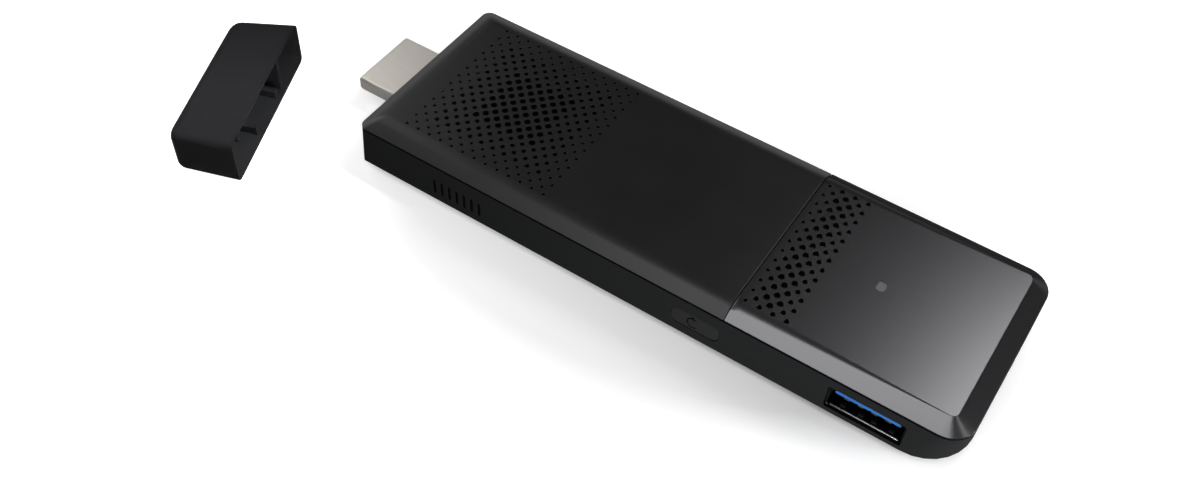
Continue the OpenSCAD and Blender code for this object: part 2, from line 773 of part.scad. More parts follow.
// Upright slot with round ends
module slot_profile() {
    square([slot_w, slot_h - slot_w], center = true);
    for (s = [-1, 1]) translate([0, s * (slot_h - slot_w) / 2]) circle(d = slot_w);
}

module top_cover() {
    edge = seam_x - seam_gap / 2;
    color([0.09, 0.09, 0.095]) difference() {
        union() {
            intersection() {
                hull() {
                    translate([0, 0, rim_z]) linear_extrude(skin) outline(0, front_r, skin);
                    translate([0, 0, rim_z + soft_h1]) linear_extrude(skin)
                        outline(soft_w1, front_r - soft_w1, skin);
                    translate([0, 0, rim_z + soft_h2]) linear_extrude(skin) outline(soft_w2, skin, skin);
                    translate([0, 0, body_h - skin]) linear_extrude(skin) outline(soft_w3, skin, skin);
                }
                translate([-body_l, -body_w, 0]) cube([body_l + edge, 2 * body_w, 2 * body_h]);
            }
            clips(top_clips);
        }
        difference() {
            cover_space(-body_l, edge - cover_rim / 2);
            clips(top_clips);
        }
        grille_holes();
    }
}

module rear_cover() {
    edge = seam_x + seam_gap / 2;
    color([0.22, 0.22, 0.225]) difference() {
        union() {
            hull() {
                translate([0, 0, rim_z]) linear_extrude(skin) rear_part(0, 0, rear_r);
                translate([0, 0, body_h - skin]) linear_extrude(skin) rear_part(soft_w3, bevel_w, bevel_r);
                for (p = [[soft_w1, soft_h1], [soft_w2, soft_h2]])
                    block([edge + skin / 2, 0, rim_z + p[1]], [skin, body_w - 2 * p[0], skin]);
            }
            clips(rear_clips);
        }
        difference() {
            cover_space(edge + cover_rim / 2, body_l);
            clips(rear_clips);
        }
        vent_holes();
        translate([light_x, 0, rim_z]) linear_extrude(body_h) round_rect(light_l, light_w, light_l / 3);
    }
}

// Plan of the rear cover at one height: drawn in by seam_in at the seam and rear_in at the rear end
module rear_part(seam_in, rear_in, r) {
    edge = seam_x + seam_gap / 2;
    x = rear_end - rear_in;
    y = far - rear_in;
    polygon([
        [edge, seam_in - far], [x - r, -y], [x, r - y], [x, y - r], [x - r, y], [edge, far - seam_in]
    ]);
    for (s = [-1, 1]) translate([x - r, s * (y - r)]) circle(r);
}

module light_pipe() {
    l = light_l - 2 * light_fit;
    w = light_w - 2 * light_fit;
    low = board_top + lamp_h + lamp_gap;
    color([0.75, 0.75, 0.76]) {
        translate([light_x, 0, low]) linear_extrude(body_h - light_fit - low)
            round_rect(l, w, light_l / 3 - light_fit);
        block([light_x, 0, lid_z - light_flange_t], [l, w, light_flange_t] + 2 * light_flange * [1, 1, 0]);
    }
}

module status_light() {
    color([0.9, 0.9, 0.85]) block([light_x, 0, board_top], [lamp_l, lamp_w, lamp_h]);
}

// Outline of the plug in the Y and Z directions, grown by grow, with its lower corners drawn in
module plug_profile(grow) {
    y = plug_w / 2 + grow;
    top = plug_z + plug_h + grow;
    low = plug_z - grow;
    side = plug_z + plug_h - plug_side;
    r = plug_r + grow;
    polygon([
        [plug_nip - y, low], [y - plug_nip, low], [y, side], [y, top - r],
        [y - r, top], [r - y, top], [-y, top - r], [-y, side]
    ]);
    for (s = [-1, 1]) translate([s * (y - r), top - r]) circle(max(r, skin));
}

module hdmi_shell() {
    l = plug_out + plug_in;
    color([0.78, 0.76, 0.73]) {
        along_x(plug_tip, l) difference() {
            plug_profile(0);
            plug_profile(-plug_t);
        }
        for (s = [-1, 1]) {
            block([plug_end - tab_l, s * (plug_w + tab_w) / 2, board_top], [tab_l, tab_w, plug_t]);
            block([plug_end - tab_l, s * (plug_w + plug_t) / 2, board_top], [tab_l, plug_t + skin, tab_h]);
        }
    }
}

module hdmi_insulator() {
    tip = plug_tip + core_back;
    slot_h = core_slot_h + 2 * pin_t;
    color([0.06, 0.06, 0.06]) difference() {
        along_x(tip, plug_end - tip) plug_profile(-plug_t - core_fit);
        translate([tip - through, -core_slot_w / 2, core_mid - slot_h / 2])
            cube([core_slot_l + through, core_slot_w, slot_h]);
        plug_contact_rows(2 * tail_l, 0);
    }
}

// Two rows of flat contacts: the lower row lies at the height of the board, the upper row steps down to it
module plug_contact_rows(reach, leg) {
    front = plug_tip + core_back + pin_t;
    end = plug_end + reach;
    for (k = [0 : plug_pins - 1])
        block([(front + end) / 2, (k - (plug_pins - 1) / 2) * plug_pitch, board_top],
            [end - front, plug_pin_w, pin_t]);
    for (k = [0 : plug_pins]) {
        y = (k - plug_pins / 2) * plug_pitch;
        z = core_mid + core_slot_h / 2;
        block([(front + end) / 2, y, z], [end - front, plug_pin_w, pin_t]);
        if (leg > 0) block([end - leg / 2, y, board_top], [leg, plug_pin_w, z + pin_t - board_top]);
    }
}

module hdmi_contacts() {
    color([0.83, 0.68, 0.3]) plug_contact_rows(tail_l, pin_t);
}

module main_board() {
    flange_end = flange_y + flange_t + button_travel + notch_fit;
    color([0.05, 0.2, 0.12]) translate([0, 0, board_z]) linear_extrude(board_t) difference() {
        outline(board_in, skin, rear_low_r - board_in);
        translate([front_end, -plug_w / 2 - notch_fit])
            square([plug_in + notch_fit, plug_w + 2 * notch_fit]);
        translate([usba_x - usba_w / 2 - usba_t - notch_fit, near])
            square([usba_w + 2 * (usba_t + notch_fit), usba_back + usba_l + notch_fit]);
        translate([button_x - button_l / 2 - flange_reach - notch_fit, near])
            square([button_l + 2 * (flange_reach + notch_fit), flange_end - near]);
        for (p = concat(board_screws_at, plate_screws_at, fan_screws_at)) translate(p) circle(screw_hole_r);
    }
}

module board_screws() {
    color([0.7, 0.7, 0.72]) screws(board_screws_at, board_top, board_top - screw_floor - screw_end);
}

module processor() {
    color([0.1, 0.25, 0.15]) block([chip_x, 0, board_top], [chip_l, chip_w, chip_t]);
    color([0.35, 0.35, 0.38]) block([chip_x, 0, board_top + chip_t - skin], [die_l, die_w, die_t + skin]);
}

module thermal_pad() {
    color([0.6, 0.65, 0.7])
        block([chip_x, 0, die_top], [die_l, die_w, pad_t] + 2 * pad_over * [1, 1, 0]);
}

module heat_plate() {
    color([0.72, 0.45, 0.32]) difference() {
        union() {
            block([chip_x, 0, plate_z], [plate_l, plate_w, plate_t]);
            for (p = plate_screws_at)
                translate([p[0], p[1], board_top]) cylinder(h = plate_z - board_top + skin, d = leg_d);
        }
        for (p = plate_screws_at) translate([p[0], p[1], board_z]) cylinder(h = body_h, r = screw_hole_r);
    }
}

module heat_screws() {
    color([0.7, 0.7, 0.72]) screws(plate_screws_at, pipe_z, pipe_z - screw_floor - screw_end);
}

// Flat pipe along straight runs with round ends and bends
module heat_pipe() {
    run = [
        [chip_x + plate_l / 2 - plate_screw_in, pipe_plate_y],
        [chip_x, pipe_plate_y],
        [chip_x - plate_l / 2, pipe_y],
        [fins_x - fins_l / 2, pipe_y]
    ];
    color([0.75, 0.48, 0.34]) translate([0, 0, pipe_z]) linear_extrude(pipe_t) {
        for (p = run) translate(p) circle(d = pipe_w);
        for (k = [1 : len(run) - 1]) {
            d = run[k] - run[k - 1];
            translate(run[k - 1]) rotate(atan2(d[1], d[0]))
                translate([0, -pipe_w / 2]) square([norm(d), pipe_w]);
        }
    }
}

module heat_fins() {
    low = board_top + fin_lift;
    fin_h = lid_z - fin_room - low;
    y = fins_y + fin_w / 2;
    color([0.78, 0.78, 0.8]) difference() {
        union() {
            block([fins_x, y, low], [fins_l, fin_w, fin_base]);
            for (k = [0 : fin_n - 1])
                block([fins_x + (k / (fin_n - 1) - 0.5) * (fins_l - fin_t), y, low], [fin_t, fin_w, fin_h]);
        }
        block([fins_x, pipe_y, pipe_z], [2 * fins_l, pipe_w + 2 * pipe_fit, body_h]);
    }
}

module fan_plan() {
    translate([fan_x, fan_y]) round_rect(fan_side, fan_side, fan_corner);
}

module fan_holes() {
    for (p = fan_screws_at) translate(p) circle(screw_hole_r);
}

module fan_housing() {
    color([0.08, 0.08, 0.085]) {
        translate([0, 0, fan_z]) linear_extrude(fan_floor) difference() {
            fan_plan();
            fan_holes();
        }
        translate([0, 0, fan_z + fan_floor - skin]) linear_extrude(fan_h - fan_floor + skin) difference() {
            fan_plan();
            fan_holes();
            translate([fan_x, fan_y]) circle(fan_chamber_r);
            translate([fan_x - fan_outlet_w / 2, fan_y - fan_side]) square([fan_outlet_w, fan_side]);
        }
    }
}

module fan_lid() {
    color([0.12, 0.12, 0.125]) translate([0, 0, fan_top]) linear_extrude(fan_lid_t) difference() {
        fan_plan();
        fan_holes();
        translate([fan_x, fan_y]) circle(fan_chamber_r - fan_inlet_lip);
    }
}

module fan_screws() {
    seat = fan_top + fan_lid_t;
    color([0.7, 0.7, 0.72]) screws(fan_screws_at, seat, seat - board_z);
}

module fan_bearing() {
    color([0.7, 0.55, 0.3]) translate([fan_x, fan_y, bearing_z]) difference() {
        cylinder(h = bearing_h, r = bearing_r);
        translate([0, 0, -through]) cylinder(h = bearing_h + 2 * through, r = shaft_r + shaft_fit);
    }
}

module fan_stator() {
    ring = bearing_r + tooth_w;
    color([0.72, 0.42, 0.22]) translate([fan_x, fan_y, bearing_z]) linear_extrude(stator_h) difference() {
        union() {
            circle(ring);
            for (k = [0 : stator_n - 1]) rotate(k * 360 / stator_n)
                translate([0, -tooth_w / 2]) square([stator_r - tooth_w / 2, tooth_w]);
            for (k = [0 : stator_n - 1]) rotate(k * 360 / stator_n)
                translate([stator_r - tooth_w / 2, 0]) circle(tooth_w / 2);
        }
        circle(bearing_r + core_gap);
    }
}

module fan_rotor() {
    skirt = blade_z + blade_gap;
    color([0.1, 0.1, 0.105]) translate([fan_x, fan_y, 0]) {
        difference() {
            union() {
                translate([0, 0, skirt]) cylinder(h = blade_top - skirt, r = hub_r);
                for (k = [0 : blade_n - 1]) rotate(k * 360 / blade_n)
                    translate([blade_root, 0, blade_z]) rotate(blade_lean) translate([0, -blade_t / 2, 0])
                        cube([blade_l, blade_t, blade_top - blade_z]);
            }
            translate([0, 0, fan_z]) cylinder(h = blade_top - hub_t - fan_z, r = hub_in);
        }
    }
}

module fan_magnet() {
    skirt = blade_z + blade_gap;
    color([0.3, 0.3, 0.32]) translate([fan_x, fan_y, skirt]) difference() {
        cylinder(h = blade_top - hub_t - skirt, r = magnet_r);
        translate([0, 0, -through]) cylinder(h = fan_h + through, r = magnet_r - magnet_t);
    }
}

module fan_shaft() {
    color([0.8, 0.8, 0.82]) translate([fan_x, fan_y, bearing_z + shaft_fit])
        cylinder(h = blade_top - hub_t - bearing_z - shaft_fit, r = shaft_r);
}

module memory_chips() {
    color([0.07, 0.07, 0.08]) for (k = [0, 1])
        block([memory_x + k * memory_p, memory_y, board_top], [memory_l, memory_w, memory_h]);
}

module storage_chip() {
    color([0.07, 0.07, 0.08]) block([storage_x, 0, board_z - storage_h], [storage_l, storage_w, storage_h]);
}

module power_inductors() {
    color([0.25, 0.25, 0.27]) for (k = [-1, 0, 1])
        translate([inductor_x, inductor_y + k * inductor_p, board_top])
            linear_extrude(inductor_h) round_rect(inductor_s, inductor_s, inductor_r);
}

module wireless_module() {
    color([0.75, 0.75, 0.77])
        block([usba_x, (radio_low + radio_high) / 2, board_top], [radio_l, radio_high - radio_low, radio_h]);
}

module antennas() {
    color([0.85, 0.85, 0.8]) for (s = [-1, 1])
        block([rear_end - antenna_in, s * antenna_y, board_top], [antenna_l, antenna_w, antenna_h]);
}

module usb_a_shell() {
    w = usba_w + 2 * usba_t;
    h = usba_h + 2 * usba_t;
    color([0.75, 0.75, 0.77]) {
        along_y(usba_mouth, usba_l) translate([usba_x, usba_z]) difference() {
            square([w, h], center = true);
            square([usba_w, usba_h], center = true);
        }
        for (s = [-1, 1])
            block([usba_x + s * (w + tab_w) / 2, usba_mouth + usba_l / 2, board_top],
                [tab_w, tab_l, usba_t]);
    }
}

module usb_a_tongue() {
    root_y = usba_mouth + usba_l - tongue_root;
    color([0.05, 0.25, 0.6]) difference() {
        union() {
            along_y(root_y, tongue_root) translate([usba_x, usba_z])
                square([usba_w - 2 * root_fit, usba_h - 2 * root_fit], center = true);
            block([usba_x, (usba_mouth + tongue_back + root_y) / 2 + skin, tongue_z],
                [tongue_w, root_y - usba_mouth - tongue_back + 2 * skin, tongue_t]);
        }
        usba_contact_rows(tongue_root);
    }
}

// Flat contacts under the wide port's tongue, with tails that step down to the board behind it
module usba_contact_rows(reach) {
    start = usba_mouth + tongue_back + 2 * pin_t;
    end = usba_mouth + usba_l + reach;
    for (k = [0 : usba_pins - 1])
        block([usba_x + (k - (usba_pins - 1) / 2) * usba_pitch, (start + end) / 2, tongue_z - pin_t],
            [usba_pin_w, end - start, pin_t]);
}

module usb_a_contacts() {
    end = usba_mouth + usba_l + notch_fit + pin_t;
    color([0.83, 0.68, 0.3]) {
        usba_contact_rows(notch_fit + 2 * pin_t);
        for (k = [0 : usba_pins - 1])
            block([usba_x + (k - (usba_pins - 1) / 2) * usba_pitch, end + pin_t / 2, board_top],
                [usba_pin_w, pin_t, tongue_z - board_top]);
    }
}

// Outline of the small port, with round ends, grown by grow
module usbc_profile(grow) {
    r = usbc_h / 2 + grow;
    square([usbc_w - usbc_h, 2 * r], center = true);
    for (s = [-1, 1]) translate([s * (usbc_w - usbc_h) / 2, 0]) circle(r);
}

module usb_c_shell() {
    color([0.75, 0.75, 0.77]) along_y(usbc_mouth - usbc_l, usbc_l)
        translate([usbc_x, usbc_z]) difference() {
            usbc_profile(0);
            usbc_profile(-usbc_t);
        }
}

module usb_c_tongue() {
    end = usbc_mouth - usbc_l;
    l = usbc_l - usbc_root - usbc_tongue_back;
    color([0.06, 0.06, 0.06]) difference() {
        union() {
            along_y(end, usbc_root) translate([usbc_x, usbc_z]) usbc_profile(-usbc_t - root_fit);
            block([usbc_x, end + usbc_root + l / 2 - skin, usbc_z - usbc_tongue_t / 2],
                [usbc_tongue_w, l + 2 * skin, usbc_tongue_t]);
        }
        usbc_contact_rows(usbc_root);
    }
}

// Flat contacts on both faces of the small port's tongue
module usbc_contact_rows(reach) {
    start = usbc_mouth - usbc_l - reach;
    end = usbc_mouth - usbc_tongue_back - 2 * pin_t;
    for (k = [0 : usbc_pins - 1], s = [-1, 1])
        block([usbc_x + (k - (usbc_pins - 1) / 2) * usbc_pitch, (start + end) / 2,
                usbc_z + s * (usbc_tongue_t + pin_t) / 2 - pin_t / 2],
            [usbc_pin_w, end - start, pin_t]);
}

module usb_c_contacts() {
    tail = usbc_mouth - usbc_l - pin_t;
    high = usbc_z + usbc_tongue_t / 2 + pin_t;
    color([0.83, 0.68, 0.3]) {
        usbc_contact_rows(2 * pin_t);
        for (k = [0 : usbc_pins - 1])
            block([usbc_x + (k - (usbc_pins - 1) / 2) * usbc_pitch, tail - pin_t / 2, board_top],
                [usbc_pin_w, pin_t, high - board_top]);
    }
}

module card_socket() {
    color([0.72, 0.72, 0.74]) difference() {
        block([card_x, card_mouth - card_l / 2, board_top], [card_w, card_l, card_h]);
        translate([card_x - card_slot_w / 2, card_mouth - card_slot_l, card_slot_z])
            cube([card_slot_w, card_slot_l + through, card_slot_h]);
    }
}

module power_switch() {
    color([0.15, 0.15, 0.16]) difference() {
        block([button_x, switch_y + switch_w / 2, board_top], [switch_l, switch_w, switch_h]);
        along_y(switch_y - through, through + plunger_in + plunger_room)
            translate([button_x, button_z]) circle(plunger_r + plunger_fit);
    }
}

module switch_plunger() {
    color([0.8, 0.8, 0.78]) along_y(flange_y + flange_t, switch_gap + plunger_in)
        translate([button_x, button_z]) circle(plunger_r);
}

module power_button() {
    face = near + button_back;
    color([0.08, 0.08, 0.085]) {
        along_y(face, flange_y - face + skin) translate([button_x, button_z])
            round_rect(button_l, button_h, button_r);
        along_y(flange_y, flange_t) translate([button_x, button_z])
            round_rect(button_l + 2 * flange_reach, button_h + 2 * flange_reach, button_r);
    }
}

// Section of the cap at a distance behind its mouth, drawn in by inset at its sides and top
module cap_slice(back, side_in, top_in, low_in) {
    w = cap_w - 2 * side_in;
    top = cap_h - top_in;
    r = cap_edge_r;
    translate([-back, 0, 0]) along_x(0, skin) {
        translate([0, low_in]) translate([-w / 2, 0]) square([w, top - low_in - r]);
        translate([r - w / 2, top - r - skin]) square([w - 2 * r, r + skin]);
        for (s = [-1, 1]) translate([s * (w / 2 - r), top - r]) circle(r, $fn = 24);
    }
}

// Closed form of the cap, drawn in by t on every side, with a plan that rounds off at its closed end
module cap_form(t, mouth) {
    hull() {
        cap_slice(skin - mouth, t, t, t);
        for (a = [0 : 15 : 90]) {
            back = cap_d - t - cap_r * (1 - sin(a));
            share = back / cap_d;
            side_in = t + cap_taper * share + cap_r * (1 - cos(a));
            top_in = t + cap_drop * share + cap_edge_r * (1 - cos(a));
            cap_slice(back, side_in, top_in, t);
        }
    }
}

module plug_cap() {
    rib_y = plug_w / 2 + rib_fit;
    color([0.12, 0.12, 0.125]) translate([cap_x, cap_y, 0]) rotate(cap_turn) difference() {
        cap_form(0, 0);
        difference() {
            cap_form(cap_t, through);
            for (s = [-1, 1]) {
                back = s < 0 ? rib_near_back : rib_back;
                block([-back - cap_d / 2, s * (rib_y + rib_t / 2), 0], [cap_d, rib_t, cap_h]);
                block([-rib_back - cap_d / 2, s * low_rib_y, 0], [cap_d, rib_t, plug_z - low_rib_fit]);
            }
        }
    }
}

bottom_case();
top_cover();
rear_cover();
light_pipe();
status_light();
hdmi_shell();
hdmi_insulator();
hdmi_contacts();
main_board();
board_screws();
processor();
thermal_pad();
heat_plate();
heat_screws();
heat_pipe();
heat_fins();
fan_housing();
fan_lid();
fan_screws();
fan_bearing();
fan_stator();
fan_rotor();
fan_magnet();
fan_shaft();
memory_chips();
storage_chip();
power_inductors();
wireless_module();
antennas();
usb_a_shell();
usb_a_tongue();
usb_a_contacts();
usb_c_shell();
usb_c_tongue();
usb_c_contacts();
card_socket();
power_switch();
switch_plunger();
power_button();
plug_cap();
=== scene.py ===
import math

import bmesh
import bpy
from mathutils import Matrix, Vector


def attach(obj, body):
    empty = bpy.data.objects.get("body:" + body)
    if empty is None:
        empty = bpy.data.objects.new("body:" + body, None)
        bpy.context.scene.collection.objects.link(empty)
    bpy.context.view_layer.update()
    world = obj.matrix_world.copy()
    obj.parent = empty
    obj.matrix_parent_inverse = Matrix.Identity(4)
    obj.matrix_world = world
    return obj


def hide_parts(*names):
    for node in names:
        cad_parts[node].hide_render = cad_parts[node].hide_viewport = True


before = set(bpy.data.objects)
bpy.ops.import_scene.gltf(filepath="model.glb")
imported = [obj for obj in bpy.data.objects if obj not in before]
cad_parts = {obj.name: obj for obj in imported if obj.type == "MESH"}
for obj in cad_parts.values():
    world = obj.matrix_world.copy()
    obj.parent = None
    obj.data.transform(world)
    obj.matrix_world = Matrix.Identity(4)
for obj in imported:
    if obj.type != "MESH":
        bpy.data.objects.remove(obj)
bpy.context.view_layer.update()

MM = 0.001

# Sizes are in millimetres, the same as the solids have, in the solids' frame

# Half length and half width of the stick, and its height
HALF_L, HALF_W, TOP = 57.0, 19.0, 12.0
# Rim under the covers, edge above the foot, how far the foot is drawn in, wall and floor thickness
RIM, EDGE, FOOT_IN, WALL, FLOOR = 10.2, 1.9, 2.0, 1.5, 1.5
# Plan radii of the front and rear corners, at the lip and at the lower edge
FRONT_R, FRONT_LOW_R, REAR_R, REAR_LOW_R = 1.6, 0.6, 4.5, 8.5
# Upper lip of the lower case, and the trench behind it that shows as a dark line under the covers
LIP, LIP_T, TRENCH_IN, TRENCH_Z = 9.74, 0.13, 0.85, 8.9
# Seam between the two covers
SEAM, SEAM_GAP = 16.4, 0.16
# Hollow of the covers: its ceiling, its start above the rim, the wall round it and the wall at the seam
CEILING, HOLLOW_LIFT, COVER_RIM, SEAM_WALL = 10.9, 0.05, 2.6, 1.3

# Slots in the near wall
SLOT_MIDDLE, SLOT_PITCH, SLOT_COUNT = -35.88, 1.583, 7
SLOT_HALF, SLOT_LOW, SLOT_HIGH, SLOT_R = 0.3, 3.45, 6.65, 0.29
SLOT_FLARE, SLOT_DEPTH = 0.05, 3.0
SLOTS = [SLOT_MIDDLE + (k - SLOT_COUNT // 2) * SLOT_PITCH for k in range(SLOT_COUNT)]

# Openings in the walls: side (-1 near, 1 far), outline in X and Z, corner radius, flare outside and depth
BUTTON_HOLE = (-1, ((7.14, 3.69), (16.06, 7.31)), 1.36, 0.04, 3.0)
WIDE_PORT_HOLE = (-1, ((35.1, 2.75), (48.15, 7.9)), 0.3, 0.06, 0.7)
SMALL_PORT_HOLE = (1, ((36.41, 3.78), (45.59, 7.28)), 1.74, 0.15, 3.0)
CARD_HOLE = (1, ((14.1, 3.9), (25.9, 5.35)), 0.2, 0.15, 3.0)
# How far the tools reach out of the wall, and the steps of their rounded corners
OVERSHOOT, HOLE_STEPS = 0.5, 5

# Grille in the matte cover: middle, pitch along and across, and the number of its last column and row
GRILLE_X, COLUMN_PITCH, ROW_PITCH, GRILLE_LAST = -35, 1.195, 1.23, 24
ROWS = [(k - GRILLE_LAST / 2) * ROW_PITCH for k in range(GRILLE_LAST + 1)]
# Hole diameters, each up to the given ring counted from the grille's edge inwards
GRILLE_SIZES = ((2, 0.55), (6, 0.85), (12, 1.2))
# Vents in the glossy cover: first row behind the seam and step from row to row
VENT_FIRST, VENT_STEP = 1.35, 1.2
# Their diameter in each row, the holes in the longest row and the largest diameter at its ends
VENT_SIZES = (0.65, 0.9, 1.15, 1.15, 1.15, 0.9, 0.9)
VENT_COUNT, VENT_END = 13, 0.9
# Bevel of the round holes at the top face, how far their tools reach below the ceiling, and their sides
HOLE_EASE, HOLE_BELOW, HOLE_SIDES = 0.04, 0.4, 16
# Window of the light
WINDOW_X, WINDOW_HALF_L, WINDOW_HALF_W, WINDOW_R = 34.2, 0.75, 1.0, 0.5

# Plug: tip and inner end, then half width, underside, shoulder and top, how far its lower corners are
# drawn in and the thickness of its sheet
PLUG_TIP, PLUG_END = -67.3, -49.8
PLUG_HALF_W, PLUG_LOW, PLUG_SHOULDER, PLUG_HIGH, PLUG_DRAW, PLUG_SHEET = 6.95, 2.55, 4.4, 7.0, 1.5, 0.35
# Hole for it in the front wall: places along the stick and room round the plug
PLUG_HOLE = ((-57.6, 0.85), (-56.88, 0.25), (-54.5, 0.25))

# Wide port: middle, half width and half height inside, sheet thickness, mouth and back
PORT_X, PORT_Z, PORT_HALF_W, PORT_HALF_H, PORT_SHEET = 41.65, 5.5, 6.25, 2.56, 0.3
PORT_MOUTH, PORT_BACK = -18.5, -5.35

# Button: middle, half length, half height, corner radius and face; middle of the mark on it
BUTTON_X, BUTTON_Z, BUTTON_HALF_L, BUTTON_HALF_H, BUTTON_R = 11.6, 5.5, 4.4, 1.75, 1.3
BUTTON_FACE = -HALF_W + 0.05
MARK_X = 11.35

# Cap: width, height, depth and wall, draft of its sides and top, its turn in degrees and the place of
# its mouth on the table
CAP_W, CAP_H, CAP_D, CAP_T = 33.2, 9.3, 12.5, 1.0
CAP_SIDE_DRAFT, CAP_TOP_DRAFT = 0.8, 0.9
CAP_TURN, CAP_AT = 22.4, (-78.4, -19.4, 0.0)
# Closed end of the cap, inside and outside: wall, rounding at the sides, top and underside, upper and lower
# corner radius; and the steps of that rounding with their angle
CAP_INSIDE = (CAP_T, 1.4, 0.8, 0.3, 0.5, 0.3)
CAP_OUTSIDE = (0.0, 2.1, 1.2, 0.9, 1.3, 1.1)
CAP_STEPS, CAP_STEP_ANGLE = 6, 15

# Camera of the photograph: place, image directions and focal length in pixels of its 1200 wide frame
EYE = Vector((58.66, -131.6, 169.66)) * MM
RIGHT = Vector((0.8369, 0.5457, 0.0428))
DOWN = Vector((0.4423, -0.6281, -0.6402))
AHEAD = Vector((-0.3225, 0.5547, -0.767))
FOCAL, PHOTO_W, SENSOR = 1273.66, 1200.0, 36.0

# Share of its own white that the sweep paper adds to the light it takes: at the far left, at the near right,
# and how much of that share glossy surfaces mirror; the smaller share towards the near right paints a deeper
# shade there
GLOW_LEFT, GLOW_RIGHT, GLOW_MIRRORED = 0.52, 0.06, 0.25
# Where that share starts and ends from left to right, and where the paper turns all white round the object:
# painted white that evens out the light on the paper and keeps the shadow short
GLOW_FROM, GLOW_TO, WHITE_FROM, WHITE_TO = -45, 60, 25, 57
# The white starts outside an oval, because the stick is long
WHITE_OVAL = (0.6, 1.0, 1.0)
# Half size of the paper and how far it lies under the object, in metres
PAPER_HALF, PAPER_DROP = 2.0, 0.0001
# Strength of the room near the horizon and overhead, and the heights between which it fades
ROOM_LOW, ROOM_HIGH, FADE_FROM, FADE_TO = 0.75, 0.06, 0.05, 0.35

# Outlines stand this far apart while they are joined
STACK_GAP = 10.0
# Keeps two equal corners apart, so that they are rounded one after the other
CORNER_STEP = 1e-4
# Distances in metres that count as none when faces are cut and edges are picked
CUT_SNAP, PICK_SNAP = 1e-8, 1e-6
# Edges that turn by more than this many degrees stay crisp, and how strongly large faces lead the shading
CRISP_ANGLE, LARGE_FACE_WEIGHT = 34, 80


# Materials

def linear(code):
    """An sRGB hex colour as linear red, green, blue and alpha."""
    parts = [int(code[i:i + 2], 16) / 255 for i in (1, 3, 5)]
    return [p / 12.92 if p <= 0.04045 else ((p + 0.055) / 1.055) ** 2.4 for p in parts] + [1.0]


def add(tree, kind, settings, links=()):
    """Adds a node: settings go to its properties or inputs, links join its inputs to other sockets."""
    made = tree.nodes.new(kind)
    for key, value in settings.items():
        if isinstance(key, int) or key in made.inputs:
            made.inputs[key].default_value = value
        else:
            setattr(made, key, value)
    for key, socket in links:
        tree.links.new(socket, made.inputs[key])
    return made


def start_material(name):
    """A material with an empty tree, its output and the piece's own coordinates."""
    made = bpy.data.materials.new(name)
    made.use_nodes = True
    tree = made.node_tree
    tree.nodes.clear()
    out = add(tree, "ShaderNodeOutputMaterial", {})
    spot = add(tree, "ShaderNodeTexCoord", {}).outputs["Object"]
    return made, tree, out, spot


def eroded_abs(name, dark, light, rough, grain, depth, spec=0.5):
    """ABS moulded in a spark-eroded tool: near black, with an even grain that breaks up every highlight.
    The real grit of about 0.05 mm is too fine to show, so the grain is drawn coarser. The black inserts of
    painted shade and the ink get the same dull, even grain."""
    cloud_size, uneven, relief = 9, 0.04, 0.35
    made, tree, out, spot = start_material(name)
    grit = add(tree, "ShaderNodeTexNoise", {"Scale": 1 / (grain * MM), "Detail": 2.0}, [("Vector", spot)])
    cloud = add(tree, "ShaderNodeTexNoise", {"Scale": 1 / (cloud_size * MM), "Detail": 3.0},
                [("Vector", spot)])
    tone = add(tree, "ShaderNodeMix", {"data_type": "RGBA", 6: linear(dark), 7: linear(light)},
               [(0, grit.outputs["Fac"])])
    gloss = add(tree, "ShaderNodeMapRange", {"To Min": rough - uneven, "To Max": rough + uneven},
                [("Value", cloud.outputs["Fac"])])
    bump = add(tree, "ShaderNodeBump", {"Strength": relief, "Distance": depth * MM},
               [("Height", grit.outputs["Fac"])])
    surface = add(tree, "ShaderNodeBsdfPrincipled", {"IOR": 1.5, "Specular IOR Level": spec},
                  [("Base Color", tone.outputs[2]), ("Roughness", gloss.outputs[0]),
                   ("Normal", bump.outputs[0])])
    tree.links.new(surface.outputs[0], out.inputs[0])
    return made


def gun_metal_lacquer(name, dark, light, rough):
    """Lacquer with fine aluminium flake under a smooth coat: dark grey that turns bright where it faces
    a light. The flake is drawn coarser than it is."""
    flake_size, cloud_size, uneven = 0.22, 14, 0.006
    made, tree, out, spot = start_material(name)
    flake = add(tree, "ShaderNodeTexNoise", {"Scale": 1 / (flake_size * MM), "Detail": 1.0},
                [("Vector", spot)])
    cloud = add(tree, "ShaderNodeTexNoise", {"Scale": 1 / (cloud_size * MM), "Detail": 3.0},
                [("Vector", spot)])
    tone = add(tree, "ShaderNodeMix", {"data_type": "RGBA", 6: linear(dark), 7: linear(light)},
               [(0, flake.outputs["Fac"])])
    gloss = add(tree, "ShaderNodeMapRange", {"To Min": rough - uneven, "To Max": rough + uneven},
                [("Value", cloud.outputs["Fac"])])
    # Its dark specular tint dims the reflection at grazing angles: painted shade, as if the room round the
    # object were dark
    surface = add(tree, "ShaderNodeBsdfPrincipled",
                  {"Metallic": 0.97, "Specular Tint": linear("#595959"), "Coat Weight": 0.1,
                   "Coat Roughness": 0.12},
                  [("Base Color", tone.outputs[2]), ("Roughness", gloss.outputs[0])])
    tree.links.new(surface.outputs[0], out.inputs[0])
    return made


